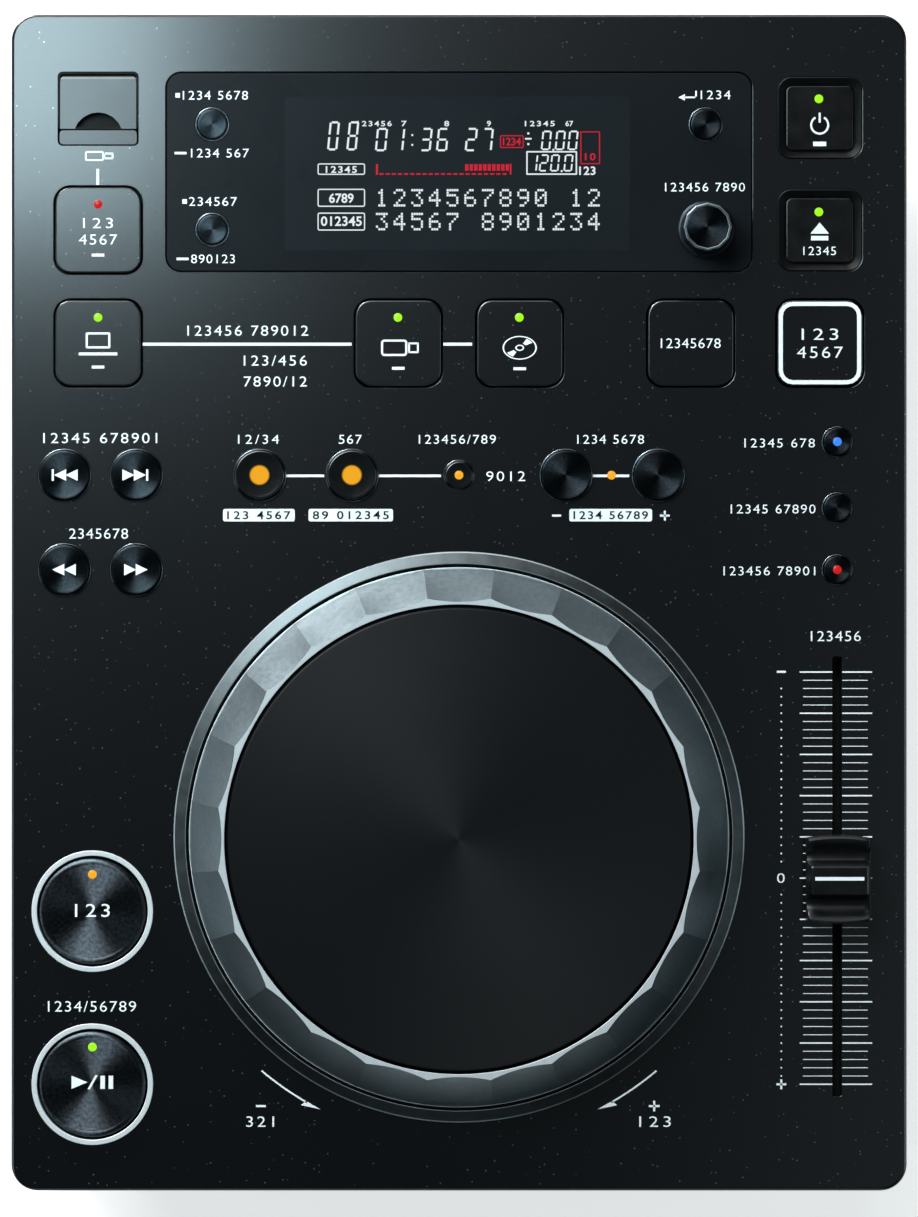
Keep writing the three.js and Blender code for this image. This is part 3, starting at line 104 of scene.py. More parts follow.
def new_material(name):
    """An empty material, its node tree, and the Object coordinates that its patterns read."""
    finish = bpy.data.materials.new(name)
    finish.use_nodes = True
    tree = finish.node_tree
    tree.nodes.clear()
    place = add(tree, "TexCoord").outputs["Object"]
    return finish, tree, place


def mottled(name, tones, lump, rough, pebble=None, also=None):
    """A finish that drifts between two tones and two roughnesses in lumps of a real size, over a fine relief.
    Lump is in millimetres, as are the width and depth of a pebble; also holds the shader's other inputs."""
    finish, tree, place = new_material(name)
    lumps = add(tree, "TexNoise", inputs={"Vector": place, "Scale": 1 / (MM * lump)})
    spread = {"Value": lumps.outputs["Fac"], "From Min": NOISE_SPAN[0], "From Max": NOISE_SPAN[1]}
    drift = add(tree, "MapRange", inputs=spread)
    tone = add(tree, "Mix", {"data_type": "RGBA"},
               {"Factor": drift.outputs["Result"], "A": srgb(tones[0]), "B": srgb(tones[1])})
    haze = add(tree, "MapRange", inputs={**spread, "To Min": rough[0], "To Max": rough[1]})
    inputs = {"Base Color": tone.outputs["Result"], "Roughness": haze.outputs["Result"], **(also or {})}
    if pebble:
        grit = add(tree, "TexNoise", inputs={"Vector": place, "Scale": 1 / (MM * pebble[0])})
        bump = add(tree, "Bump", inputs={"Height": grit.outputs["Fac"], "Distance": MM * pebble[1]})
        inputs["Normal"] = bump.outputs["Normal"]
    if "Anisotropic" in inputs:
        around = add(tree, "Tangent", {"direction_type": "RADIAL", "axis": "Z"})
        inputs["Tangent"] = around.outputs["Tangent"]
    surface = add(tree, "BsdfPrincipled", inputs=inputs)
    add(tree, "OutputMaterial", inputs={"Surface": surface.outputs[0]})
    return finish


def turned(profile, middle=(0.0, 0.0), steps=96, closed=False):
    """Turns a half section of (radius, height) pairs about an upright axis, as on a lathe."""
    shape = bmesh.new()
    line = [shape.verts.new((middle[0] + radius, middle[1], height)) for radius, height in profile]
    pairs = list(zip(line, line[1:])) + ([(line[-1], line[0])] if closed else [])
    edges = [shape.edges.new(pair) for pair in pairs]
    bmesh.ops.spin(shape, geom=line + edges, angle=2 * math.pi, steps=steps, axis=(0, 0, 1),
                   cent=(*middle, 0), use_merge=True)
    bmesh.ops.remove_doubles(shape, verts=shape.verts, dist=SAME)
    return shape


def finished(name, shape, finish, body, stands_for=(), crease=35.0):
    """Makes a piece of a shape drawn in millimetres, and has it ride on its body."""
    bmesh.ops.remove_doubles(shape, verts=shape.verts, dist=SAME / 2)
    bmesh.ops.recalc_face_normals(shape, faces=shape.faces)
    bmesh.ops.scale(shape, vec=(MM, MM, MM), verts=shape.verts)
    mesh = bpy.data.meshes.new(name)
    shape.to_mesh(mesh)
    shape.free()
    mesh.materials.append(finish)
    mesh.set_sharp_from_angle(angle=math.radians(crease))
    mesh.polygons.foreach_set("use_smooth", [abs(face.normal.z) < LEVEL for face in mesh.polygons])
    piece = bpy.data.objects.new(name, mesh)
    scene.collection.objects.link(piece)
    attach(piece, body)
    if stands_for:
        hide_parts(*stands_for)
    return piece


def dressed(finish, *names):
    """Gives CAD nodes that keep their own solids their material."""
    for name in names:
        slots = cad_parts[name].material_slots
        for part_slot in slots:
            part_slot.material = finish
        if not slots:
            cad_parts[name].data.materials.append(finish)


foot_rubber = mottled("moulded_black_rubber", ("141516", "1E1F20"), 1.5, (0.7, 0.76), (0.6, 0.06))
for name in ("foot_front_left", "foot_front_right", "foot_rear_left", "foot_rear_right"):
    middle, size, _, top = place_of(name)
    radius = size[0] / 2
    section = [(0, 0.35), (5.6, 0.35), (6.0, 0), (8.2, 0), (8.8, 0.25), (radius, 0.9), (radius, top),
               (0, top)]
    finished(name + "_pad", turned(section, middle, 48), foot_rubber, "body", [name])

# Bottom case: a pressed steel tray that carries the drive and the boards.
# Its powder paint is black and finely pebbled, and keeps a soft sheen.
case_powder = mottled("powder_painted_steel", ("17191B", "1D2022"), 6.0, (0.44, 0.56), (0.35, 0.05))
dressed(case_powder, "bottom_case")

# Circuit boards: glass-fibre laminate under green solder resist, screwed to the bosses of the two cases.
# The resist is glossy, and the copper pours below it show as slightly lighter fields.
TRACK_PITCH = 2.5
POUR_WIDTH = 4 * TRACK_PITCH
POUR_STEP = 0.04
resist, tree, place = new_material("green_solder_resist")
pours = add(tree, "TexBrick", inputs={
    "Vector": place, "Scale": 1 / (MM * POUR_WIDTH), "Mortar Size": 0.06, "Color1": srgb("0F4A2C"),
    "Color2": srgb("12553A"), "Mortar": srgb("0B3320")})
step = add(tree, "Bump", inputs={"Height": pours.outputs["Fac"], "Distance": MM * POUR_STEP})
surface = add(tree, "BsdfPrincipled", inputs={
    "Base Color": pours.outputs["Color"], "Roughness": 0.28, "Normal": step.outputs["Normal"]})
add(tree, "OutputMaterial", inputs={"Surface": surface.outputs[0]})
dressed(resist, "main_board", "power_board", "key_board")

# Disc drive: chassis of bent zinc-plated sheet, with a rubber loading roller, ground steel rails, and a
# moulded turntable and pickup. Zinc plate is pale and slightly cloudy; ground steel is brighter, with
# fine grinding lines.
GRINDING_PITCH = 2.0  # real grinding lines are a hundredth of this apart, which would not show
GRINDING_DEPTH = 0.01
zinc = mottled("zinc_plated_sheet", ("9C9FA1", "B4B6B5"), 9.0, (0.3, 0.42), also={"Metallic": 1.0})
dressed(zinc, "drive_chassis", "spindle_motor")
ground_steel, tree, place = new_material("ground_steel_rod")
lines = add(tree, "TexWave", {"bands_direction": "Y"}, {
    "Vector": place, "Scale": 1 / (MM * GRINDING_PITCH)})
tone = add(tree, "Mix", {"data_type": "RGBA"},
           {"Factor": lines.outputs["Fac"], "A": srgb("B9BCBE"), "B": srgb("CDD0D1")})
scratch = add(tree, "Bump", inputs={"Height": lines.outputs["Fac"], "Distance": MM * GRINDING_DEPTH})
surface = add(tree, "BsdfPrincipled", inputs={
    "Base Color": tone.outputs["Result"], "Metallic": 1.0, "Roughness": 0.22,
    "Normal": scratch.outputs["Normal"]})
add(tree, "OutputMaterial", inputs={"Surface": surface.outputs[0]})
dressed(ground_steel, "pickup_rail", "lead_screw", "encoder_shaft")
roller_rubber = mottled("moulded_roller_rubber", ("1B1A19", "272524"), 1.2, (0.78, 0.84), (0.5, 0.08))
dressed(roller_rubber, "loading_roller")
inner_plastic = mottled("moulded_inner_plastic", ("15171A", "202327"), 3.0, (0.4, 0.55), (0.3, 0.025))
dressed(inner_plastic, "disc_turntable", "optical_pickup", "jog_bearing", "fader_body", "encoder_body",
        "display_module", "usb_socket")

# Front panel and rear panel: black moulded plastic closing the body between the two cases. The front one
# has the flared disc slot. Their fine spark-eroded grain is darker and softer than the paint above it.
black_panel = mottled("grained_black_plastic", ("111315", "17191B"), 8.0, (0.45, 0.6), (0.25, 0.05))
dressed(black_panel, "front_panel", "rear_panel")

# Top case: the deck and its skirt, moulded in one and sprayed black under a satin clear coat.
# Fine metal flakes float in the paint, so it stays near black from above and takes a wide soft glow
# towards a lamp.
BODY_CORNER = 6.5
DECK_EDGE = 0.8
DECK_WALL = 2.5
PLATE_INSET = 2.0  # the pierced plate meets the skirt's rim under a seam of a hundredth of a millimetre
PLATE_TOP = DECK_TOP - 0.01
RIM_LAP = 0.5  # the skirt's rim reaches this far in over the plate
DECK_UNDERSIDE = 89.0
HOLE_EDGE = 0.1
FLAKE_SPACING = 1.1  # real flakes are a tenth of this apart, which would not show
FLAKE_EDGE = (0.11, 0.19)  # a flake fades out between these shares of the spacing
FLAKES_MISSING = 0.84  # the share of the spots that stay empty
SQUARE_HOLE = (21.8, 21.8, 4.2)
ROUND_HOLE = 6.5
COLUMN_HOLE = 3.8
LARGE_HOLE = 14.85
JOG_HOLE = 13.0
WELL_MOUTH = (20.8, 20.1, 3.6)
WELL_RIM = DECK_TOP - 0.1
WELL_SLOPE = 1.6
WELL_DROP = 1.4
LINER = 0.5  # the wall of the wells and of the lid's pocket
PANEL_RECESS = ((143.2, 48.9), 3.9)
FADER_SLOT = ((92.2, -66.8), (2.4, 107.3), 0.6)
LID_RECESS = ((-88.0, 120.425), (19.6, 17.95), 1.2)
LID_FLOOR = 89.2
LID_STRIP = ((-88.0, 113.45), (19.0, 3.6))
LID_STRIP_TOP = 91.8
LID_POCKET = ((-88.0, 122.4), (19.6, 14.0))
LID_POCKET_TOP = DECK_TOP - 0.15
REAR_OPENING = (180.0, 78.0)
ARC = 0.5523  # share of its radius that a quarter circle's handle reaches


def keys_at(*names):
    """Where each key of a group has its middle."""
    return {name: place_of(name + "_button")[0] for name in names}


def outline_round(curve, middle, size, corner, hole):
    """Adds a rectangle with round corners, or a circle where the corner is half its size, to a flat curve."""
    half = [side / 2 for side in size]
    reach = corner * (1 - ARC)
    marks = []
    for right, up in ((1, 1), (-1, 1), (-1, -1), (1, -1)):
        on_side = (right * half[0], up * (half[1] - corner)), (right * half[0], up * (half[1] - reach))
        on_end = (right * (half[0] - corner), up * half[1]), (right * (half[0] - reach), up * half[1])
        pair = [on_side, on_end]
        marks += pair if right == up else pair[::-1]
    joined_ends = corner >= min(half) - SAME
    points = []
    for index, (place, handle) in enumerate(marks):
        points.append((place, handle if index % 2 else place, place if index % 2 else handle))
    if joined_ends:
        points = [(points[index][0], points[index - 1][1], points[index][2]) for index in (0, 2, 4, 6)]
    if hole:
        points = [(place, after, before) for place, before, after in points[::-1]]
    spline = curve.splines.new("BEZIER")
    spline.use_cyclic_u = True
    spline.bezier_points.add(len(points) - 1)
    for knot, (place, before, after) in zip(spline.bezier_points, points):
        knot.handle_left_type = knot.handle_right_type = "FREE"
        knot.co, knot.handle_left, knot.handle_right = (
            (middle[0] + x, middle[1] + y, 0) for x, y in (place, before, after))


def round_hole(curve, middle, radius):
    """Adds a round hole to a flat curve."""
    outline_round(curve, middle, (2 * radius, 2 * radius), radius, True)


def shape_of(curve):
    """The shape that a flat curve or a line of figures fills."""
    drawn = bpy.data.objects.new(curve.name, curve)
    scene.collection.objects.link(drawn)
    mesh = bpy.data.meshes.new_from_object(drawn.evaluated_get(bpy.context.evaluated_depsgraph_get()))
    shape = bmesh.new()
    shape.from_mesh(mesh)
    bpy.data.objects.remove(drawn)
    bpy.data.meshes.remove(mesh)
    return shape


def plate_of(curve, low, high, edge):
    """Fills a flat curve to a plate with softly rounded edges, and returns it as a shape."""
    curve.dimensions = "2D"
    curve.fill_mode = "BOTH"
    curve.resolution_u = 10
    curve.extrude = (high - low) / 2 - edge
    curve.bevel_depth = edge
    curve.bevel_resolution = 1
    curve.offset = -edge
    shape = shape_of(curve)
    bmesh.ops.translate(shape, vec=(0, 0, (low + high) / 2), verts=shape.verts)
    return shape


def broken(shape, lines, width, steps=3):
    """Breaks sharp edges of a shape, each to a round of a width."""
    bmesh.ops.bevel(shape, geom=lines, offset=width, affect="EDGES", segments=steps, profile=0.5, material=-1)


def block(middle, size, low, high, corner=0.0, edge=0.0, steps=8):
    """A block with round upright corners and a rounded rim at its top, each where it is asked for."""
    shape = bmesh.new()
    bmesh.ops.create_cube(shape, size=1)
    bmesh.ops.scale(shape, vec=(*size, high - low), verts=shape.verts)
    bmesh.ops.translate(shape, vec=(*middle, (low + high) / 2), verts=shape.verts)
    if corner:
        upright = [line for line in shape.edges if abs(line.verts[0].co.z - line.verts[1].co.z) > SAME]
        broken(shape, upright, corner, steps)
    if edge:
        rim = [line for line in shape.edges if all(abs(end.co.z - high) < SAME for end in line.verts)]
        broken(shape, rim, edge)
    return shape


def merged(shape, *others):
    """Takes the other shapes into the first."""
    for other in others:
        carrier = bpy.data.meshes.new("carrier")
        other.to_mesh(carrier)
        other.free()
        shape.from_mesh(carrier)
        bpy.data.meshes.remove(carrier)
    return shape


def faces_at(shape, height):
    """The faces that lie flat at a height."""
    return [face for face in shape.faces if all(abs(corner.co.z - height) < SAME for corner in face.verts)]


def cut_across(shape, place, normal):
    """Divides the faces of a shape along a plane, and keeps both sides."""
    whole = shape.verts[:] + shape.edges[:] + shape.faces[:]
    bmesh.ops.bisect_plane(shape, geom=whole, plane_co=place, plane_no=normal)


def corners_in(made):
    """The corners in what an extrusion has made."""
    return [item for item in made["geom"] if isinstance(item, bmesh.types.BMVert)]


def walled(shape, thickness):
    """Gives an open skin its wall, outward from the side that its faces look to."""
    bmesh.ops.recalc_face_normals(shape, faces=shape.faces)
    bmesh.ops.solidify(shape, geom=shape.faces[:], thickness=thickness)
    return shape


def deck_paint(name):
    """Near-black spray paint with sparse metal flakes under a satin clear coat."""
    paint, tree, place = new_material(name)
    flakes = add(tree, "TexVoronoi", inputs={"Vector": place, "Scale": 1 / (MM * FLAKE_SPACING)})
    near = add(tree, "MapRange", inputs={
        "Value": flakes.outputs["Distance"], "From Min": FLAKE_EDGE[0], "From Max": FLAKE_EDGE[1],
        "To Min": 1.0, "To Max": 0.0})
    chance = add(tree, "SeparateColor", inputs={"Color": flakes.outputs["Color"]})
    chosen = add(tree, "MapRange", inputs={
        "Value": chance.outputs["Red"], "From Min": FLAKES_MISSING, "From Max": 1.0})
    share = add(tree, "Math", {"operation": "MULTIPLY"},
                {0: near.outputs["Result"], 1: chosen.outputs["Result"]})
    tone = add(tree, "Mix", {"data_type": "RGBA"},
               {"Factor": share.outputs[0], "A": srgb("040608"), "B": srgb("7F898E")})
    surface = add(tree, "BsdfPrincipled", inputs={
        "Base Color": tone.outputs["Result"], "Metallic": share.outputs[0], "Roughness": 0.212,
        "Specular IOR Level": 0.75})
    add(tree, "OutputMaterial", inputs={"Surface": surface.outputs[0]})
    return paint


SQUARE_KEYS = keys_at("usb_stop", "link_source", "usb_source", "disc_source", "playlist", "tempo_lock")
WELL_KEYS = keys_at("power", "eject")
ROUND_KEYS = keys_at("track_back", "track_forward", "search_back", "search_forward", "loop_in", "loop_out",
                     "beat_down", "beat_up")
COLUMN_KEYS = keys_at("reloop", "vinyl_mode", "tempo_range", "master_tempo")
PANEL_KEYS = keys_at("time_mode", "display_mode", "back")
LARGE_KEYS = keys_at("cue", "play")
BODY_SIZE, CASE_SPLIT = place_of("top_case")[1:3]
PANEL_MIDDLE, PANEL_SIZE = place_of("display_panel")[:2]
JOG_MIDDLE = place_of("jog_ring")[0]
case_paint = deck_paint("flaked_black_spray_paint")
deck_curve = bpy.data.curves.new("deck_outline", "CURVE")
plate_size = [side - 2 * PLATE_INSET for side in BODY_SIZE]
outline_round(deck_curve, (0, 0), plate_size, BODY_CORNER - PLATE_INSET, False)
for places, mouth in ((SQUARE_KEYS, SQUARE_HOLE), (WELL_KEYS, WELL_MOUTH)):
    for middle in places.values():
        outline_round(deck_curve, middle, mouth[:2], mouth[2], True)
for places, radius in ((ROUND_KEYS, ROUND_HOLE), (COLUMN_KEYS, COLUMN_HOLE), (LARGE_KEYS, LARGE_HOLE)):
    for middle in places.values():
        round_hole(deck_curve, middle, radius)
round_hole(deck_curve, JOG_MIDDLE, JOG_HOLE)
for recess in ((PANEL_MIDDLE, *PANEL_RECESS), FADER_SLOT, LID_RECESS):
    outline_round(deck_curve, *recess, True)
top_shape = plate_of(deck_curve, DECK_UNDERSIDE, PLATE_TOP, HOLE_EDGE)
skirt = block((0, 0), BODY_SIZE, CASE_SPLIT, DECK_TOP, BODY_CORNER, DECK_EDGE, 10)
bmesh.ops.delete(skirt, geom=faces_at(skirt, CASE_SPLIT), context="FACES_ONLY")
skirt_top = faces_at(skirt, DECK_TOP)
bmesh.ops.inset_region(skirt, faces=skirt_top, thickness=PLATE_INSET + RIM_LAP - DECK_EDGE, depth=0)
bmesh.ops.delete(skirt, geom=skirt_top, context="FACES_ONLY")
for side in (-1, 1):
    cut_across(skirt, (side * REAR_OPENING[0] / 2, 0, 0), (1, 0, 0))
cut_across(skirt, (0, 0, REAR_OPENING[1]), (0, 0, 1))
before_rear_panel = []
for face in skirt.faces:
    middle = face.calc_center_median()
    at_rear = middle.y > BODY_SIZE[1] / 2 - 0.01
    if at_rear and abs(middle.x) < REAR_OPENING[0] / 2 and middle.z < REAR_OPENING[1]:
        before_rear_panel.append(face)
bmesh.ops.delete(skirt, geom=before_rear_panel, context="FACES")
walled(skirt, DECK_WALL)
merged(top_shape, skirt)
finished("top_case_shell", top_shape, case_paint, "body", ["top_case"])

# Linings of the top case: sloped wells round the power and eject keys, and the pocket of the stick lid,
# which a painted strip closes at its front. The linings are near-black moulding, darker and duller than the
# paint round them: painted shade, standing in for the shade that fills these recesses.
recess_shade_black = mottled("black_moulding_painted_recess_shade", ("040505", "070808"), 4.0, (0.5, 0.6), (0.3, 0.02),
                       {"Specular IOR Level": 0.12})
lid_paint = mottled("satin_black_lid_paint", ("060809", "080A0B"), 6.0, (0.22, 0.24), also={
    "Specular IOR Level": 0.55})
strip = block(*LID_STRIP, LID_FLOOR - 0.5, LID_STRIP_TOP, 0.9, 0.12, 4)
finished("lid_front_strip", strip, lid_paint, "body")
wells = bmesh.new()
for x, y in WELL_KEYS.values():
    slopes = block((x, y), WELL_MOUTH[:2], DECK_TOP - WELL_SLOPE, WELL_RIM, WELL_MOUTH[2])
    ends = faces_at(slopes, DECK_TOP - WELL_SLOPE) + faces_at(slopes, WELL_RIM)
    bmesh.ops.delete(slopes, geom=ends, context="FACES_ONLY")
    floor_ring = [corner for corner in slopes.verts if corner.co.z < DECK_TOP - 0.5 * WELL_SLOPE]
    narrowed = [1 - 2 * WELL_SLOPE / side for side in WELL_MOUTH[:2]]
    bmesh.ops.scale(slopes, vec=(*narrowed, 1), verts=floor_ring, space=Matrix.Translation((-x, -y, 0)))
    rim = [line for line in slopes.edges if all(end in floor_ring for end in line.verts)]
    dropped = bmesh.ops.extrude_edge_only(slopes, edges=rim)
    bmesh.ops.translate(slopes, vec=(0, 0, -WELL_DROP), verts=corners_in(dropped))
    merged(wells, walled(slopes, LINER))
# The well slopes take the near-black lining: painted shade in the wells.
finished("key_well_slopes", wells, recess_shade_black, "body")
# The lid's pocket takes the near-black lining: painted shade under the lid.
pocket = block(*LID_POCKET, LID_FLOOR, LID_POCKET_TOP, LID_RECESS[2], 0, 4)
bmesh.ops.delete(pocket, geom=faces_at(pocket, LID_POCKET_TOP), context="FACES_ONLY")
finished("lid_pocket", walled(pocket, LINER), recess_shade_black, "body")

# Square keys: moulded caps sprayed with the deck's own paint, each loose in its hole by half a millimetre.
# Their rims are rounded a little, which draws a fine light line beside the dark gap.
SQUARE_CAP = (20.8, 20.8, 3.7)
SQUARE_RIM = 0.35
SQUARE_TOP = place_of("usb_stop_button")[3]
KEY_FOOT = 86.0


def key_cap(name, shape, finish):
    """Makes the cap of a key, which rides on the key's own body."""
    finished(name + "_cap", shape, finish, name + "_button", [name + "_button"])


key_paint = deck_paint("flaked_black_key_paint")
for name, middle in SQUARE_KEYS.items():
    cap = block(middle, SQUARE_CAP[:2], KEY_FOOT, SQUARE_TOP, SQUARE_CAP[2], SQUARE_RIM)
    key_cap(name, cap, key_paint)

# Power and eject keys: plain black moulded caps, low in sloped wells so that they aren't pressed by chance.
# The plastic is finely grained and a little glossier than the paint.
WELL_CAP = (16.6, 15.9, 1.5)
WELL_CAP_RIM = 0.4
WELL_CAP_TOP = place_of("power_button")[3]
well_plastic = mottled("moulded_black_key_plastic", ("050607", "08090A"), 5.0, (0.22, 0.28), (0.3, 0.01),
                       {"Specular IOR Level": 0.4})
for name, middle in WELL_KEYS.items():
    cap = block(middle, WELL_CAP[:2], KEY_FOOT, WELL_CAP_TOP, WELL_CAP[2], WELL_CAP_RIM, 6)
    key_cap(name, cap, well_plastic)

# Round keys: turned aluminium caps, anodised black, each in a thin bright trim ring pressed into its hole.
# The tool marks run round the cap, so light lies on it in wedges that point to the lamps.
# The loop keys are glossy black plastic instead.
ROUND_CAP = 5.95
ROUND_CAP_TOP = place_of("loop_in_button")[3]
COLUMN_CAP = 3.3
COLUMN_CAP_TOP = place_of("reloop_button")[3]
PANEL_CAP = 3.62
PANEL_HOLE = 4.2
TRIM_TOP = 92.12
TRIM_FIT = 0.04  # the trim ring's play in its hole
GROOVE_PITCH = 0.36
GROOVE_DEPTH = 0.012
spun_black = mottled("spun_black_anodised_aluminium", ("1F2427", "292E32"), 0.5, (0.28, 0.34), also={
    "Metallic": 1.0, "Anisotropic": 0.85, "Anisotropic Rotation": 0.25})
trim_bright = mottled("polished_anodised_trim", ("50575C", "5A6166"), 2.0, (0.24, 0.3), also={
    "Metallic": 1.0})
gloss_black = mottled("glossy_black_key_plastic", ("070808", "0B0C0D"), 2.0, (0.16, 0.18), also={
    "Coat Weight": 0.5, "Coat Roughness": 0.05})


def round_cap(radius, top, dish):
    """Half section of a round key: a shallow dish, a rounded rim and a straight side down to its stem."""
    inner = radius - 0.75
    rings = int(inner / GROOVE_PITCH)
    face = [(0, top - dish)]
    for ring in range(1, rings + 1):
        reach = inner * ring / rings
        level = top - dish * (1 - (reach / radius) ** 3)
        face += [(reach - 0.5 * inner / rings, level - GROOVE_DEPTH), (reach, level)]
    rim = [(radius - 0.3, top), (radius - 0.12, top - 0.03), (radius - 0.03, top - 0.1), (radius, top - 0.25)]
    return face + rim + [(radius, KEY_FOOT), (0, KEY_FOOT)]


def trim_ring(name, middle, inner, outer):
    """A thin ring with a rounded crown, seated in the deck round a key."""
    low, crown = DECK_UNDERSIDE + 1, TRIM_TOP
    section = [(inner, low), (outer, low), (outer, crown - 0.12), (outer - 0.1, crown - 0.02),
               ((inner + outer) / 2, crown), (inner + 0.08, crown - 0.04), (inner, crown - 0.2)]
    finished(name, turned(section, middle, 64, True), trim_bright, "body")


for places, radius, top, dish, gap, hole, steps in (
        (ROUND_KEYS, ROUND_CAP, ROUND_CAP_TOP, 0.2, 0.17, ROUND_HOLE, 64),
        (COLUMN_KEYS, COLUMN_CAP, COLUMN_CAP_TOP, 0.1, 0.15, COLUMN_HOLE, 48),
        (PANEL_KEYS, PANEL_CAP, COLUMN_CAP_TOP, 0.1, 0.15, PANEL_HOLE, 48)):
    for name, middle in places.items():
        finish = gloss_black if "loop" in name else spun_black
        key_cap(name, turned(round_cap(radius, top, dish), middle, steps), finish)
        trim_ring(name + "_trim_ring", middle, radius + gap, hole - TRIM_FIT)

# Display panel: a smoked acrylic sheet lying flush in the deck, clear over the display and painted black
# below elsewhere. It is smooth and takes less of the glow than the paint round it.
PANEL_CORNER = 3.6
PANEL_FOOT = 90.05
PANEL_EDGE = 0.15
WINDOW = ((-0.4, 104.6), (84.2, 37.5), 0.8)
WINDOW_FOOT = DECK_TOP - 0.2
WINDOW_TOP = DECK_TOP + 0.02
WINDOW_EDGE = 0.01
KNOB_MIDDLE, KNOB_SIZE, KNOB_FOOT, KNOB_TOP = place_of("select_knob")
KNOB_HOLE = 3.4
smoked_acrylic = mottled("smoked_acrylic_sheet", ("121518", "14171A"), 30.0, (0.26, 0.3), also={
    "Specular IOR Level": 0.07})
panel_curve = bpy.data.curves.new("panel_outline", "CURVE")
outline_round(panel_curve, PANEL_MIDDLE, PANEL_SIZE, PANEL_CORNER, False)
for middle in PANEL_KEYS.values():
    round_hole(panel_curve, middle, PANEL_HOLE)
round_hole(panel_curve, KNOB_MIDDLE, KNOB_HOLE)
panel_shape = plate_of(panel_curve, PANEL_FOOT, DECK_TOP, PANEL_EDGE)
finished("display_window_sheet", panel_shape, smoked_acrylic, "body", ["display_panel"])
window_tint = mottled("clear_window_behind_acrylic", ("15191C", "171B1E"), 20.0, (0.27, 0.29), also={
    "Specular IOR Level": 0.07})
window_curve = bpy.data.curves.new("window_outline", "CURVE")
outline_round(window_curve, *WINDOW, False)
window_shape = plate_of(window_curve, WINDOW_FOOT, WINDOW_TOP, WINDOW_EDGE)
finished("display_window", window_shape, window_tint, "body")

# Select knob: moulded plastic knob with twelve flats and a metal-look spun top, on a round skirt.
# Its edges are broken narrow, and the chamfers round its crown take a lighter finish: a painted highlight
# for the light that they catch. The skirt below is dark.
KNOB_FLATS = 12
KNOB_RADIUS = 6.2
KNOB_TAPER = 0.3
KNOB_CROWN = 0.35
KNOB_BREAK = 0.12
KNOB_SEAT = (0.25, 0.15)  # the top disc's seat: how far in from the crown, and how deep
SKIRT_RADIUS = KNOB_SIZE[0] / 2
SKIRT_TOP = KNOB_FOOT + 1.6
knob_plastic = mottled("moulded_knob_plastic", ("202529", "282D32"), 2.0, (0.32, 0.4), also={"Metallic": 0.9})
knob_edge_highlight = mottled("knob_chamfer_painted_highlight", ("5A6267", "646C71"), 2.0, (0.4, 0.46), also={"Metallic": 0.5})
knob = bmesh.new()
bmesh.ops.create_cone(knob, cap_ends=True, segments=KNOB_FLATS, radius1=KNOB_RADIUS,
                      radius2=KNOB_RADIUS - KNOB_TAPER, depth=KNOB_TOP - SKIRT_TOP)
bmesh.ops.translate(knob, vec=(*KNOB_MIDDLE, (KNOB_TOP + SKIRT_TOP) / 2), verts=knob.verts)
crown = [line for line in knob.edges if all(end.co.z > KNOB_TOP - 0.01 for end in line.verts)]
broken(knob, crown, KNOB_CROWN, 1)
broken(knob, [line for line in knob.edges if line.calc_face_angle(0) > 0.3], KNOB_BREAK, 2)
bmesh.ops.inset_region(knob, faces=faces_at(knob, KNOB_TOP), thickness=KNOB_SEAT[0], depth=-KNOB_SEAT[1])
knob.normal_update()
skirt_section = [
    (0, KNOB_FOOT), (SKIRT_RADIUS - 0.2, KNOB_FOOT), (SKIRT_RADIUS, KNOB_FOOT + 0.2),
    (SKIRT_RADIUS, SKIRT_TOP - 0.4), (SKIRT_RADIUS - 0.25, SKIRT_TOP - 0.1), (SKIRT_RADIUS - 0.6, SKIRT_TOP),
    (0, SKIRT_TOP)]
merged(knob, turned(skirt_section, KNOB_MIDDLE, 64))
# Chamfer faces near the top get the lighter finish: painted highlight.
for face in knob.faces:
    near_top = face.calc_center_median().z > KNOB_TOP - 0.3
    face.material_index = int(near_top and 0.3 < abs(face.normal.z) < 0.95)
knob_body = finished("select_knob_body", knob, knob_plastic, "select_turn",
                     ["select_knob"], 20.0)
knob_body.data.materials.append(knob_edge_highlight)
disc_section = [(0, KNOB_TOP - 0.1), (4.95, KNOB_TOP - 0.1), (5.1, KNOB_TOP - 0.16), (5.15, KNOB_TOP - 0.4),
                (0, KNOB_TOP - 0.4)]
top_disc = turned(disc_section, KNOB_MIDDLE, 64)
finished("select_knob_top_disc", top_disc, spun_black, "select_turn")

# Jog wheel, bezel: a fixed ring of turned aluminium with a satin face and a broken outer edge. Its outer
# and inner edges take a lighter finish, a painted highlight for the light that they catch. Fine tool marks
# run round it, and draw its highlight out along the ring.
BEZEL_INNER = 66.3
JOG_STEPS = 192


def from_jog_axis(place):
    """How far a place lies from the jog wheel's axis."""
    return math.hypot(place.x - JOG_MIDDLE[0], place.y - JOG_MIDDLE[1])


satin_bezel = mottled("satin_turned_aluminium", ("474B4C", "4F5354"), 3.0, (0.32, 0.36), also={
    "Metallic": 1.0})
bezel_edge_highlight = mottled("bezel_edge_painted_highlight", ("7A8184", "83898C"), 2.0, (0.34, 0.4), also={
    "Metallic": 0.6})
_, size, low, high = place_of("jog_bezel")
inner, outer = BEZEL_INNER, size[0] / 2
section = [
    (inner, low), (outer, low), (outer, high - 1.15), (outer - 0.32, high - 0.95), (inner + 0.75, high - 0.1),
    (inner + 0.5, high), (inner + 0.32, high - 0.02), (inner, high - 0.5)]
bezel = turned(section, JOG_MIDDLE, JOG_STEPS, True)
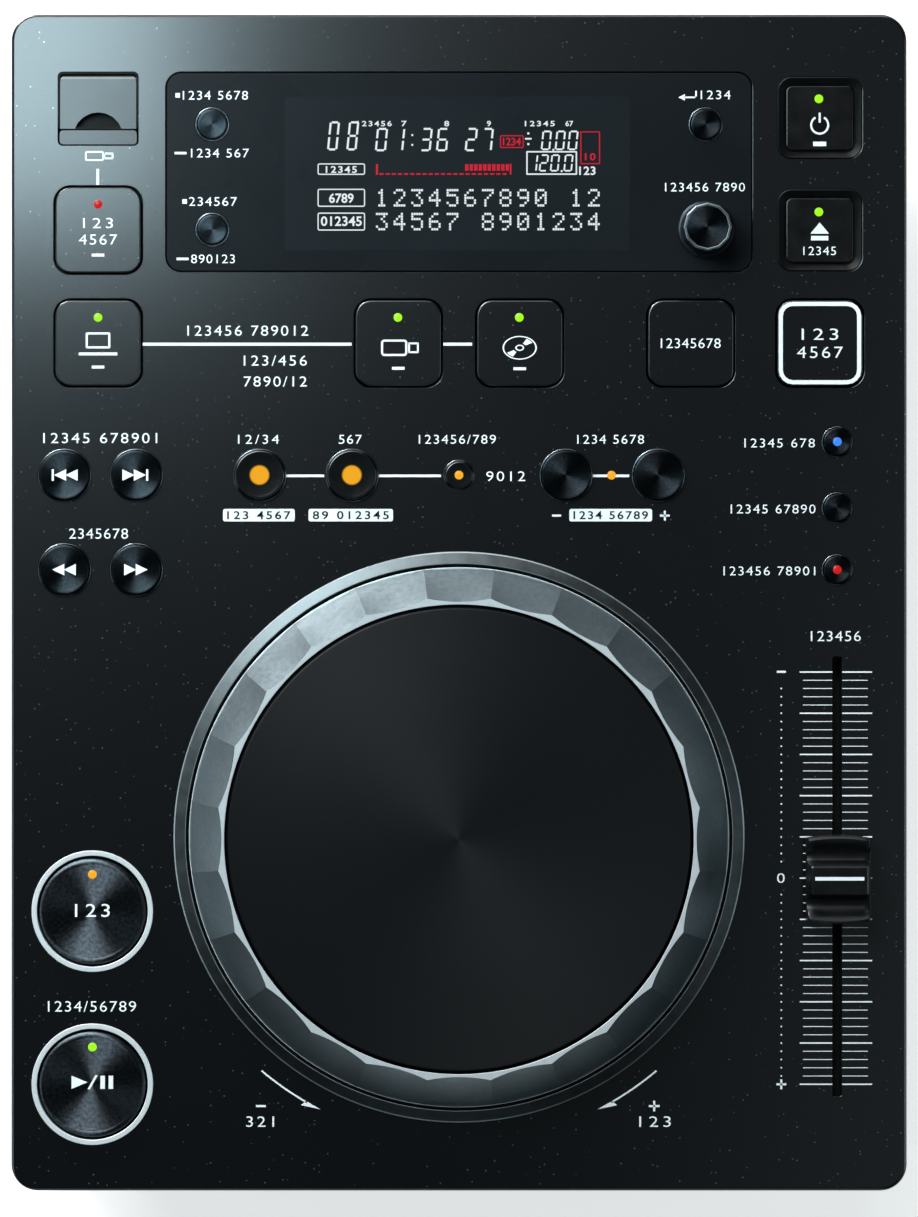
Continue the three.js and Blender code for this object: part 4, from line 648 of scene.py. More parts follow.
# Faces on the outer and inner edges get the lighter finish: painted highlight.
for face in bezel.faces:
    middle = face.calc_center_median()
    reach = from_jog_axis(middle)
    on_outer_edge = middle.z > high - 1.1 and reach > outer - 0.3
    on_inner_edge = inner + 0.3 < reach < inner + 0.5
    face.material_index = int(on_outer_edge or on_inner_edge)
bezel_ring = finished("jog_bezel_ring", bezel, satin_bezel, "body", ["jog_bezel"], 9.0)
bezel_ring.data.materials.append(bezel_edge_highlight)

# Jog wheel, grip ring: one moulding in silver-grey paint, its flank scooped out twenty-four times for the
# fingers. The paint is satin, so each scoop shades smoothly and each ridge between two stays crisp, and the
# crest is lacquered.
RING_CREST = 58.6
RING_LIP = (0.14, 1.0)  # the flank starts this far inside the base and above it
RING_WELL = 56.7
RING_WELL_LEVELS = (100.8, 103.3)
RING_HUB = 12.0
SCOOPS = 24
SCOOP_DEPTHS = (0.2, 1.25)  # at the base and at the crest
SCOOP_STEPS = 12
silver_paint = mottled("satin_silver_grey_paint", ("6E7A7F", "78858A"), 1.2, (0.37, 0.41), (0.3, 0.004), {
    "Metallic": 0.85})
crest_lacquer = mottled("bright_silver_lacquer_crest", ("A6ACAE", "ADB3B5"), 2.0, (0.4, 0.46))
_, size, base_level, crest_level = place_of("jog_ring")
base_radius, crest_radius = size[0] / 2, RING_CREST
lip_radius, lip_level = base_radius - RING_LIP[0], base_level + RING_LIP[1]
flank = [(lip_radius + (crest_radius - lip_radius) * share, lip_level + (crest_level - lip_level) * share)
         for share in (0, 0.25, 0.5, 0.75, 1)]
well_low, well_high = RING_WELL_LEVELS
section = [
    (RING_HUB, well_low), (RING_WELL + 2, well_low), (RING_WELL + 3, base_level),
    (base_radius - 0.4, base_level), (base_radius, base_level + 0.4), (base_radius, lip_level - 0.1),
    (lip_radius, lip_level - 0.05), *flank, (RING_WELL + 0.08, crest_level),
    (RING_WELL, crest_level - 0.08), (RING_WELL, well_high), (RING_HUB, well_high)]
grip = turned(section, JOG_MIDDLE, SCOOPS * SCOOP_STEPS, True)
for corner in grip.verts:
    radius = from_jog_axis(corner.co)
    if radius < crest_radius - 0.1 or corner.co.z < lip_level - 0.03:
        continue
    across, along = corner.co.x - JOG_MIDDLE[0], corner.co.y - JOG_MIDDLE[1]
    turn = (math.degrees(math.atan2(along, across)) / (360 / SCOOPS)) % 1.0
    from_middle = 2 * min(turn, 1 - turn)  # 0 in the middle of a scoop, 1 on a ridge
    height = min(max((corner.co.z - base_level) / (crest_level - base_level), 0), 1)
    depth = (SCOOP_DEPTHS[0] + (SCOOP_DEPTHS[1] - SCOOP_DEPTHS[0]) * height) * (1 - from_middle ** 2)
    corner.co.x -= depth * across / radius
    corner.co.y -= depth * along / radius
for face in grip.faces:
    middle = face.calc_center_median()
    reach = from_jog_axis(middle)
    on_lip = reach > base_radius - 0.2 and middle.z > lip_level - 0.1
    on_crest = middle.z > crest_level - 0.05 and reach > RING_WELL
    # The ring's inner wall round the top plate takes the near-black lining: painted shade in the gap.
    in_shaded_well = reach < RING_WELL + 0.05
    face.material_index = 1 if on_lip or on_crest else 2 if in_shaded_well else 0
grip_ring = finished("jog_grip_ring", grip, silver_paint, "jog_wheel", ["jog_ring"], 5.0)
grip_ring.data.materials.append(crest_lacquer)
grip_ring.data.materials.append(recess_shade_black)

# Jog wheel, top plate: a dark disc pressed to scratch and stop, with a broken edge and a plain middle.
# It is anodised and finely brushed round, nearly as dark as the deck.
PLATE_FACE = 55.7
PLATE_HEIGHT = 3.0
dark_plate = mottled("dark_anodised_plate", ("06080A", "07090B"), 60.0, (0.31, 0.33), also={
    "Anisotropic": 0.35, "Anisotropic Rotation": 0.25, "Specular IOR Level": 0.4})
_, size, _, high = place_of("jog_plate")
low = high - PLATE_HEIGHT
edge_radius = size[0] / 2
section = [(0, low), (edge_radius, low), (edge_radius, high - 0.8), (edge_radius - 0.1, high - 0.4),
           (PLATE_FACE + 0.1, high - 0.03), (PLATE_FACE - 0.2, high), (0, high)]
plate = turned(section, JOG_MIDDLE, JOG_STEPS)
finished("jog_top_disc", plate, dark_plate, "jog_top", ["jog_plate"])

# Tempo fader cap: moulded black cap with two finger scoops and a ridge between them, marked with a white
# line. Its faces are finely grained, and the edges of its scoops and ridge catch thin lines of light.
FADER_MIDDLE, CAP_SIZE, STEM_FOOT, CAP_TOP = place_of("fader_cap")
CAP_FOOT = 93.0
CAP_TAPER_FROM = 98.5
RIDGE_SIZE = (13.6, 6.9)
CAP_END_BOW = 0.7
CAP_SLICE = 2.0
STEM_SIZE = (1.4, 5.0)
cap_plastic = mottled("grained_cap_plastic", ("050607", "080A0B"), 3.0, (0.3, 0.36), (0.25, 0.01), {
    "Specular IOR Level": 0.28})


def raised(shape, faces, push):
    """Extrudes faces of a shape by a push."""
    grown = bmesh.ops.extrude_face_region(shape, geom=faces)
    bmesh.ops.translate(shape, vec=push, verts=corners_in(grown))


half = CAP_SIZE[1] / 2
ridge = RIDGE_SIZE[1] / 2
side_view = [
    (-half, CAP_FOOT), (half, CAP_FOOT), (half, 99.4), (half - 0.2, 100.2), (half - 0.7, 100.5), (9.0, 99.9),
    (7.9, 99.1), (6.8, 98.5), (5.7, 98.3), (4.7, 98.6), (4.0, 99.6), (3.6, 101.2), (ridge, CAP_TOP - 0.4),
    (ridge - 0.45, CAP_TOP)]
side_view += [(-along, up) for along, up in side_view[:1:-1]]
left_side = FADER_MIDDLE[0] - CAP_SIZE[0] / 2
fader = bmesh.new()
outline = [fader.verts.new((left_side, FADER_MIDDLE[1] + along, up)) for along, up in side_view]
raised(fader, [fader.faces.new(outline)], (CAP_SIZE[0], 0, 0))
for corner in fader.verts:
    rise = min(max((corner.co.z - CAP_TAPER_FROM) / (CAP_TOP - CAP_TAPER_FROM), 0), 1)
    inset = rise * (CAP_SIZE[0] - RIDGE_SIZE[0]) / 2
    corner.co.x -= math.copysign(inset, corner.co.x - FADER_MIDDLE[0])
sharp = [line for line in fader.edges if abs(line.verts[0].co.x - line.verts[1].co.x) < 2
         and min(end.co.z for end in line.verts) > CAP_FOOT + 0.1]
broken(fader, sharp, 0.3, 2)
for step in range(-3, 4):
    cut_across(fader, (FADER_MIDDLE[0] + CAP_SLICE * step, 0, 0), (1, 0, 0))
for corner in fader.verts:
    along = corner.co.y - FADER_MIDDLE[1]
    if abs(along) > 8:
        across = (corner.co.x - FADER_MIDDLE[0]) / (CAP_SIZE[0] / 2)
        corner.co.y -= math.copysign(CAP_END_BOW * across ** 2, along)
stem = block(FADER_MIDDLE, STEM_SIZE, STEM_FOOT, CAP_FOOT)
finished("fader_cap_body", merged(fader, stem), cap_plastic, "fader_cap", ["fader_cap"], 30.0)

# Cue and play: large spun metal caps, each inside a milky ring that is lit from below.
# The rings are frosted white acrylic; the caps are brushed round, so bright wedges lie before and behind.
RING_SECTION = [(13.55, 88.0), (14.8, 88.0), (14.8, 92.3), (14.7, 92.4), (13.65, 92.4), (13.55, 92.3)]
LARGE_CAP = 12.95
LARGE_TOP = place_of("cue_button")[3]
LARGE_DISH = 0.25
LARGE_GROOVES = 32
milky_ring = mottled("frosted_white_acrylic", ("BCC1C3", "C2C7C9"), 4.0, (0.38, 0.42), also={
    "Subsurface Weight": 0.2, "Subsurface Scale": 0.002})
spun_cap = mottled("spun_dark_metal_cap", ("3C4247", "50565B"), 0.8, (0.28, 0.36), also={
    "Metallic": 1.0, "Anisotropic": 0.92, "Anisotropic Rotation": 0.25 + 26 / 360})
for key, middle in LARGE_KEYS.items():
    ring = turned(RING_SECTION, middle, 96, True)
    finished(key + "_light_guide", ring, milky_ring, "body", [key + "_light_ring"])
    section = [(0, LARGE_TOP - LARGE_DISH)]
    for groove in range(1, LARGE_GROOVES + 1):
        reach = (LARGE_CAP - 1.4) * groove / LARGE_GROOVES
        level = LARGE_TOP - LARGE_DISH + 0.22 * (reach / LARGE_CAP) ** 2
        section += [(reach - 0.18, level - GROOVE_DEPTH), (reach, level)]
    section += [(LARGE_CAP - 1.1, LARGE_TOP), (LARGE_CAP - 0.4, LARGE_TOP - 0.1),
                (LARGE_CAP - 0.1, LARGE_TOP - 0.3), (LARGE_CAP, LARGE_TOP - 0.7), (LARGE_CAP, KEY_FOOT),
                (0, KEY_FOOT)]
    cap = turned(section, middle, 96)
    finished(key + "_cap", cap, spun_cap, key + "_button", [key + "_button"])

# Memory-stick lid: a moulded flap sprayed like the deck, with a round notch for the finger at its front edge.
# It swings up on two pins at its rear corners.
dressed(lid_paint, "usb_lid")

# Rear sockets: two phono sockets with nickel-plated barrels round a white and a red insulator, and a mains
# inlet with two pins in its flanged black shroud. Both are fixed to the recessed rear panel; nothing is
# printed there.
REAR_PANEL_FACE = 134.0
BARREL_END = 142.0
JACK_HEIGHT = 50.0
JACKS = (("left", -54.0, ("D8D9D6", "E0E1DE")), ("right", -70.0, ("A3201C", "AD2A24")))
INLET_PINS = ((63.7, 34.0), (72.3, 34.0))
PIN_SECTION = [(0, 124.6), (1.24, 124.6), (1.24, 133.2), (0.9, 133.7), (0, 133.75)]
socket_black = mottled("moulded_socket_plastic", ("0E0F10", "16181A"), 2.0, (0.3, 0.4), (0.3, 0.015))
dressed(socket_black, "audio_jacks", "mains_inlet")
nickel = mottled("nickel_plated_barrel", ("B5B2AA", "C0BDB5"), 2.0, (0.2, 0.28), also={"Metallic": 1.0})


def facing_rear(name, shape, x, z, finish):
    """Lays a part that was turned about an upright axis on its side, its top to the rear, at a height."""
    quarter_turn = Matrix.Rotation(math.radians(-90), 3, "X")
    bmesh.ops.rotate(shape, cent=(0, 0, 0), matrix=quarter_turn, verts=shape.verts)
    bmesh.ops.translate(shape, vec=(x, 0, z), verts=shape.verts)
    finished(name, shape, finish, "body")


for side, x, tones in JACKS:
    mouth = BARREL_END + 0.01
    barrel = [(4.22, REAR_PANEL_FACE), (4.32, REAR_PANEL_FACE), (4.32, BARREL_END - 0.2),
              (4.1, BARREL_END + 0.12), (3.3, BARREL_END + 0.12), (3.3, mouth), (4.22, mouth)]
    barrel_shape = turned(barrel, steps=48, closed=True)
    facing_rear("jack_barrel_" + side, barrel_shape, x, JACK_HEIGHT, nickel)
    insulator = [(1.75, mouth), (3.28, mouth), (3.28, BARREL_END + 0.08), (1.75, BARREL_END + 0.08)]
    coloured = mottled("moulded_jack_insulator_" + side, tones, 1.0, (0.35, 0.4))
    insulator_shape = turned(insulator, steps=48, closed=True)
    facing_rear("jack_insulator_" + side, insulator_shape, x, JACK_HEIGHT, coloured)
for number, (x, z) in enumerate(INLET_PINS):
    facing_rear(f"inlet_pin_{number + 1}", turned(PIN_SECTION, steps=24), x, z, nickel)

# Printed marks: white silk-screen ink, a few hundredths of a millimetre high, baked on the paint.
# Its edges are crisp and its face is matt. Every label is a row of plain figures.
INK = 0.03
ink = mottled("white_silk_screen_ink", ("E4E7E8", "EAEDEE"), 1.0, (0.52, 0.58), also={
    "Specular IOR Level": 0.2})
dark_ink = mottled("dark_ink_on_white_field", ("0B0D0F", "101214"), 1.0, (0.52, 0.58), also={
    "Specular IOR Level": 0.1})


def figures(text, middle, width, height, at, weight=-0.004):
    """Plain figures as a thin raised mesh of a width and a height, about their middle."""
    spacing = 1.0
    for last in (False, True):
        curve = bpy.data.curves.new("figures", "FONT")
        curve.body = text
        curve.offset = weight
        curve.resolution_u = 3
        curve.space_character = spacing
        shape = shape_of(curve)
        low = [min(corner.co[axis] for corner in shape.verts) for axis in (0, 1)]
        high = [max(corner.co[axis] for corner in shape.verts) for axis in (0, 1)]
        drawn = (high[0] - low[0], high[1] - low[1])
        if not last:
            spacing = min(max(width / height * drawn[1] / drawn[0], 0.8), 1.6)
            spacing = 1 + (spacing - 1) / 2  # half of what is missing comes from wider figures
            shape.free()
    bmesh.ops.dissolve_limit(shape, angle_limit=0.01, verts=shape.verts, edges=shape.edges)
    bmesh.ops.translate(shape, vec=(-(low[0] + high[0]) / 2, -(low[1] + high[1]) / 2, 0), verts=shape.verts)
    bmesh.ops.scale(shape, vec=(width / drawn[0], height / drawn[1], 1), verts=shape.verts)
    raised(shape, shape.faces[:], (0, 0, INK))
    bmesh.ops.translate(shape, vec=(*middle, at), verts=shape.verts)
    return shape


def flat(corners, at):
    """A flat mark with straight edges, from its corners in order."""
    shape = bmesh.new()
    face = shape.faces.new([shape.verts.new((*corner, at)) for corner in corners])
    raised(shape, [face], (0, 0, INK))
    return shape


def bar(middle, width, height, at):
    """A flat rectangular mark."""
    return block(middle, (width, height), at, at + INK)


def ring_arc(middle, radius, stroke, start, sweep, at, steps=24):
    """A flat arc of even width, from a start angle through a sweep in degrees."""
    shape = bmesh.new()
    first = Matrix.Translation((*middle, 0)) @ Matrix.Rotation(math.radians(start), 4, "Z")
    ends = [shape.verts.new(first @ Vector((radius + across, 0, at + up)))
            for across, up in ((-stroke / 2, 0), (stroke / 2, 0), (stroke / 2, INK), (-stroke / 2, INK))]
    face = shape.faces.new(ends)
    full = abs(sweep) >= 360
    swept = ends + list(face.edges) if full else [face]
    bmesh.ops.spin(shape, geom=swept, angle=math.radians(sweep), steps=steps, axis=(0, 0, 1),
                   cent=(*middle, 0), use_merge=full)
    if full:
        bmesh.ops.delete(shape, geom=[face], context="FACES_ONLY")
    return shape


def frame_of(middle, size, stroke, corner, at):
    """A flat frame: a rectangle's outline of even width with round corners."""
    shape = block(middle, size, at, at + INK, corner, 0, 4)
    hollow = faces_at(shape, at) + faces_at(shape, at + INK)
    bmesh.ops.inset_region(shape, faces=hollow, thickness=stroke, use_even_offset=True)
    bmesh.ops.bridge_loops(shape, edges=[line for face in hollow for line in face.edges])
    bmesh.ops.delete(shape, geom=hollow, context="FACES_ONLY")
    return shape


def arrow_head(middle, size, direction, at):
    """A flat triangle that points along a direction in degrees."""
    turn = Matrix.Rotation(math.radians(direction), 2)
    ends = [turn @ Vector(end) for end in ((size / 2, 0), (-size / 2, size / 2), (-size / 2, -size / 2))]
    return flat([(middle[0] + end.x, middle[1] + end.y) for end in ends], at)


def printed(name, body, shapes, finish=ink):
    """Makes one piece of many small marks."""
    finished(name, merged(shapes[0], *shapes[1:]), finish, body)


DECK_LABELS = (
    ("123456 789012", -51.5, 66.3, 29.5, 2.5), ("123/456", -44.8, 59.0, 15.4, 2.5),
    ("7890/12", -44.8, 53.9, 15.4, 2.5), ("12345 678901", -87.5, 40.1, 27.8, 2.5),
    ("2345678", -87.9, 16.8, 14.4, 2.5), ("12/34", -48.9, 39.8, 10.0, 2.2), ("567", -26.5, 39.8, 5.6, 2.2),
    ("123456/789", -0.4, 39.8, 18.8, 2.2), ("1234 5678", 37.0, 39.8, 16.3, 2.2),
    ("9012", 11.4, 30.8, 9.5, 2.4), ("12345 678", 78.2, 38.9, 17.2, 2.2),
    ("12345 67890", 76.6, 22.8, 20.7, 2.2), ("123456 78901", 75.7, 7.7, 22.4, 2.2),
    ("123456", 91.9, -8.2, 12.2, 2.5), ("1234/56789", -89.5, -98.5, 21.5, 2.6),
    ("321", -48.5, -126.6, 6.8, 2.6), ("123", 47.8, -126.6, 7.7, 2.6), ("0", 78.5, -67.2, 1.9, 2.4),
)
DECK_BARS = (
    (-88.1, 103.8, 0.63, 3.9), (-51.65, 63.0, 50.9, 0.73), (-0.3, 63.0, 7.0, 0.73), (-37.55, 30.9, 9.3, 0.63),
    (-12.0, 30.9, 15.2, 0.63), (37.05, 30.9, 8.9, 0.63), (23.8, 21.2, 2.2, 0.5), (50.2, 21.2, 2.4, 0.5),
    (50.2, 21.2, 0.5, 2.4), (-48.3, -122.8, 2.4, 0.5), (47.6, -122.8, 2.6, 0.5), (47.6, -122.8, 0.5, 2.6),
    (78.6, -16.9, 2.2, 0.5), (78.6, -117.5, 2.4, 0.5), (78.6, -117.5, 0.5, 2.4),
)
WHITE_FIELDS = (("123 4567", -48.8, 17.5), ("89 012345", -26.4, 20.6), ("1234 56789", 37.0, 20.2))
WHITE_FIELD_ROW = 21.3
WHITE_FIELD_HEIGHT = 3.05
TICKS = 51
TICK_TOP = -16.95
TICK_PITCH = 2.0106
TICK_STROKES = (0.33, 0.17)  # of every fifth tick and of the others
TICK_SIDES = ((-9.1, -8.3, -1.15), (8.55, 7.5, 1.25))  # from the slot, left and right: long, short, near ends
DOT_COLUMN = 78.6
DOT_RADIUS = 0.22
DOTLESS_TICKS = (0, 1, 24, 25, 26, TICKS - 1)  # the ends and the middle, where other marks stand
ARROW_RADIUS = 74.6
ARROWS = ((229.8, 10.4), (310.2, -10.4))  # start and sweep in degrees
ARROW_HEAD = ((0.97, -0.2), (0.93, 1.3), (1.27, -0.1))  # share of the sweep, and place across the arrow
STICK_SIGN = (((-88.9, 108.9), (4.6, 2.4), 0.4, 0.5), ((-85.5, 108.9), (2.4, 1.6), 0.4, 0.1))
deck_marks = [figures(text, (x, y), width, height, DECK_TOP) for text, x, y, width, height in DECK_LABELS]
deck_marks += [bar((x, y), width, height, DECK_TOP) for x, y, width, height in DECK_BARS]
for text, x, width in WHITE_FIELDS:
    field = (width, WHITE_FIELD_HEIGHT)
    deck_marks.append(block((x, WHITE_FIELD_ROW), field, DECK_TOP, DECK_TOP + INK, 0.5, 0, 3))
slot_x = FADER_SLOT[0][0]
dot_section = [(0, DECK_TOP), (DOT_RADIUS, DECK_TOP), (DOT_RADIUS, DECK_TOP + INK), (0, DECK_TOP + INK)]
for step in range(TICKS):
    height = TICK_TOP - step * TICK_PITCH
    fifth = step % 5 == 0
    for long_end, short_end, near in TICK_SIDES:
        far = long_end if fifth else short_end
        stroke = TICK_STROKES[0 if fifth else 1]
        deck_marks.append(bar((slot_x + (far + near) / 2, height), abs(far - near), stroke, DECK_TOP))
    if step not in DOTLESS_TICKS:
        deck_marks.append(turned(dot_section, (DOT_COLUMN, height), 6))
for start, sweep in ARROWS:
    deck_marks.append(ring_arc(JOG_MIDDLE, ARROW_RADIUS, 0.4, start, sweep, DECK_TOP, 8))
    head = []
    for share, across in ARROW_HEAD:
        along = math.radians(start + sweep * share)
        reach = ARROW_RADIUS + across
        head.append((JOG_MIDDLE[0] + reach * math.cos(along), JOG_MIDDLE[1] + reach * math.sin(along)))
    deck_marks.append(flat(head, DECK_TOP))
deck_marks += [frame_of(*outline, DECK_TOP) for outline in STICK_SIGN]
printed("deck_printing", "body", deck_marks)
white_field_marks = [figures(text, (x, WHITE_FIELD_ROW), width - 2.0, 2.05, DECK_TOP + INK, 0.015)
                     for text, x, width in WHITE_FIELDS]
printed("white_field_figures", "body", white_field_marks, dark_ink)

PANEL_LABELS = (
    ("1234 5678", -59.4, 123.7, 15.9), ("1234 567", -58.3, 109.6, 14.1), ("234567", -60.0, 97.8, 11.7),
    ("890123", -60.0, 83.8, 10.7), ("1234", 62.6, 123.8, 7.3), ("123456 7890", 60.0, 101.3, 19.5),
)
PANEL_LABEL_HEIGHT = 2.15
PANEL_BARS = (
    (-68.6, 123.7, 1.1, 1.1), (-67.9, 109.6, 2.9, 0.6), (-66.9, 97.8, 1.1, 1.1), (-67.4, 83.8, 2.9, 0.6),
    (56.4, 123.2, 3.2, 0.4), (57.8, 123.9, 0.4, 1.8),
)
panel_marks = [figures(text, (x, y), width, PANEL_LABEL_HEIGHT, DECK_TOP)
               for text, x, y, width in PANEL_LABELS]
panel_marks += [bar((x, y), width, height, DECK_TOP) for x, y, width, height in PANEL_BARS]
panel_marks.append(arrow_head((54.3, 123.2), 1.6, 180, DECK_TOP))
printed("panel_printing", "body", panel_marks)

# Marks on the keys: the same ink, printed on each cap, so they travel with it.
# They are the common signs for standby, eject, skip, search, play and pause, a bar, and plain figures.
DASH = (3.05, 0.7)
LOCK_FRAME = ((20.1, 20.1), 1.0, 3.4)
DISC_SIGN = ((4.0, 0.35, 0, 360, 48), (0.9, 0.35, 0, 360, 24), (2.6, 1.9, 30, 32, 6), (2.6, 1.9, 210, 32, 6))
DISC_SIGN_SQUASH = 0.69  # the disc is drawn lying back
SIGN_SIZE = (2.9, 2.8)  # a triangle's length and height
SIGN_STARTS = {"track": (-3.3, -0.5), "search": (-2.85, -0.05)}
SKIP_BAR = (2.75, 0.5)


def marked(key, shapes):
    """Prints marks on the cap of a key."""
    printed(key + "_marks", key + "_button", shapes)


at = SQUARE_TOP
x = SQUARE_KEYS["usb_stop"][0]
marked("usb_stop", [
    figures("123", (x, 92.5), 7.3, 2.5, at), figures("4567", (x, 88.5), 9.3, 2.5, at),
    bar((x, 84.7), *DASH, at)])
x = SQUARE_KEYS["link_source"][0]
marked("link_source", [
    frame_of((x, 63.9), (6.0, 3.9), 0.5, 0.4, at), bar((x, 60.6), 9.4, 0.7, at), bar((x, 57.4), *DASH, at)])
x = SQUARE_KEYS["usb_source"][0]
marked("usb_source", [
    frame_of((x - 1.0, 62.1), (6.4, 4.0), 0.5, 0.8, at),
    frame_of((x + 3.7, 62.1), (2.6, 2.6), 0.45, 0.15, at), bar((x, 57.1), *DASH, at)])
x = SQUARE_KEYS["disc_source"][0]
disc_marks = []
for radius, stroke, start, sweep, steps in DISC_SIGN:
    arc = ring_arc((0, 0), radius, stroke, start, sweep, at, steps)
    bmesh.ops.scale(arc, vec=(1, DISC_SIGN_SQUASH, 1), verts=arc.verts)
    bmesh.ops.translate(arc, vec=(x, 62.1, 0), verts=arc.verts)
    disc_marks.append(arc)
marked("disc_source", disc_marks + [bar((x, 57.0), *DASH, at)])
marked("playlist", [figures("12345678", (SQUARE_KEYS["playlist"][0], 63.2), 14.6, 2.4, at)])
x, y = SQUARE_KEYS["tempo_lock"]
marked("tempo_lock", [
    frame_of((x, y), *LOCK_FRAME, at), figures("123", (x, 65.4), 8.9, 2.8, at),
    figures("4567", (x, 61.0), 11.2, 2.8, at)])
at = WELL_CAP_TOP
x = WELL_KEYS["power"][0]
marked("power", [
    ring_arc((x, 116.5), 2.1, 0.5, 120, 300, at), bar((x, 118.3), 0.5, 2.4, at),
    bar((x, 111.9), 3.2, 1.1, at)])
x = WELL_KEYS["eject"][0]
marked("eject", [
    flat([(x - 2.27, 90.0), (x + 2.27, 90.0), (x, 92.75)], at), bar((x, 88.9), 4.2, 1.1, at),
    figures("12345", (x, 85.8), 8.0, 2.1, at)])
at = ROUND_CAP_TOP - 0.16
for name, (x, y) in ROUND_KEYS.items():
    kind, way = name.split("_")
    if kind not in SIGN_STARTS:
        continue
    facing = -1 if way == "back" else 1
    signs = []
    for start in SIGN_STARTS[kind]:
        tail, tip = x + facing * start, x + facing * (start + SIGN_SIZE[0])
        signs.append(flat([(tail, y + SIGN_SIZE[1] / 2), (tip, y), (tail, y - SIGN_SIZE[1] / 2)], at))
    if kind == "track":
        signs.append(bar((x + facing * SKIP_BAR[0], y), SKIP_BAR[1], SIGN_SIZE[1], at))
    marked(name, signs)
at = LARGE_TOP - 0.18
marked("cue", [figures("123", (LARGE_KEYS["cue"][0], -75.1), 8.5, 3.2, at, 0.0)])
marked("play", [
    flat([(-94.5, -115.4), (-90.6, -117.0), (-94.5, -118.6)], at),
    flat([(-88.7, -115.3), (-88.1, -115.3), (-90.0, -118.7), (-90.6, -118.7)], at),
    bar((-86.9, -117.0), 1.1, 3.2, at), bar((-84.9, -117.0), 1.1, 3.2, at)])
printed("fader_cap_line", "fader_cap", [bar((92.2, -66.9), 11.9, 0.85, CAP_TOP)])

# Lamps: small clear domes over lit diodes, each set in the deck or in a cap. Their colour fills the dome
# evenly. They glow enough to read as lit, and cast next to no light on the paint.
LAMP_RADIUS = 1.07
RED, GREEN, AMBER, BLUE = "CC1212", "A5FF14", "FBB01C", "3C8CFF"
LAMPS = (
    ("usb_stop", (-88.0, 97.1), SQUARE_TOP, RED),
    ("link_source", (-88.0, 69.5), SQUARE_TOP, GREEN),
    ("usb_source", (-14.9, 69.5), SQUARE_TOP, GREEN),
    ("disc_source", (14.7, 69.5), SQUARE_TOP, GREEN),
    ("power", (87.8, 122.9), WELL_CAP_TOP, GREEN),
    ("eject", (87.8, 95.3), WELL_CAP_TOP, GREEN),
    ("beat_loop", (37.2, 31.05), DECK_TOP, AMBER),
    ("reloop", (0.0, 31.05), COLUMN_CAP_TOP - 0.1, AMBER),
    ("vinyl_mode", (92.2, 39.2), COLUMN_CAP_TOP - 0.1, BLUE),
    ("master_tempo", (92.2, 8.0), COLUMN_CAP_TOP - 0.1, RED),
    ("cue", (-89.4, -66.3), LARGE_TOP - 0.12, AMBER),
    ("play", (-89.4, -108.4), LARGE_TOP - 0.12, GREEN),
)


def glowing(name, code, strength):
    """Clear lens over a lit diode: the colour comes from within, and only a faint gloss lies on it."""
    return mottled(name, ("101010", "141414"), 0.5, (0.24, 0.26), also={
        "Specular IOR Level": 0.15, "Emission Color": srgb(code), "Emission Strength": strength})


lenses = {code: glowing("lit_lamp_lens_" + code.lower(), code, 1.0) for code in (RED, GREEN, AMBER, BLUE)}
for name, middle, at, code in LAMPS:
    section = [(0, at - 0.4), (LAMP_RADIUS, at - 0.4), (LAMP_RADIUS, at), (0.9 * LAMP_RADIUS, at + 0.14),
               (0.6 * LAMP_RADIUS, at + 0.26), (0, at + 0.32)]
    body = "body" if name == "beat_loop" else name + "_button"
    finished(name + "_lamp", turned(section, middle, 24), lenses[code], body)

# Loop key glow: each loop key is lit through a spot in its glossy cap, amber in the middle and fading to
# black. The spot is a thin disc, and how far a point of it lies from the key's middle sets the fade.
GLOW_RADIUS = 2.9
GLOW_FADE = (2.0, 2.6)
GLOW_AT = ROUND_CAP_TOP - 0.19
for name in ("loop_in", "loop_out"):
    middle = ROUND_KEYS[name]
    glow, tree, place = new_material("amber_glow_in_gloss_" + name)
    centred = add(tree, "Mapping", inputs={
        "Vector": place, "Location": (-MM * middle[0], -MM * middle[1], 0)})
    level_place = add(tree, "VectorMath", {"operation": "MULTIPLY"},
                      {0: centred.outputs[0], 1: (1, 1, 0)})
    reach = add(tree, "VectorMath", {"operation": "LENGTH"}, {0: level_place.outputs[0]})
    fade = add(tree, "MapRange", {"interpolation_type": "SMOOTHSTEP"}, {
        "Value": reach.outputs["Value"], "From Min": MM * GLOW_FADE[0], "From Max": MM * GLOW_FADE[1],
        "To Min": 1.0, "To Max": 0.0})
    light = add(tree, "Mix", {"data_type": "RGBA"},
                {"Factor": fade.outputs["Result"], "A": (0, 0, 0, 1), "B": srgb(AMBER)})
    surface = add(tree, "BsdfPrincipled", inputs={
        "Base Color": srgb("090A0A"), "Roughness": 0.16, "Coat Weight": 0.5, "Coat Roughness": 0.05,
        "Emission Color": light.outputs["Result"], "Emission Strength": 0.95})
    add(tree, "OutputMaterial", inputs={"Surface": surface.outputs[0]})
    section = [(0, GLOW_AT), (GLOW_RADIUS, GLOW_AT + 0.03), (GLOW_RADIUS, GLOW_AT + 0.05),
               (0, GLOW_AT + 0.02)]
    finished(name + "_glow", turned(section, middle, 48), glow, name + "_button")

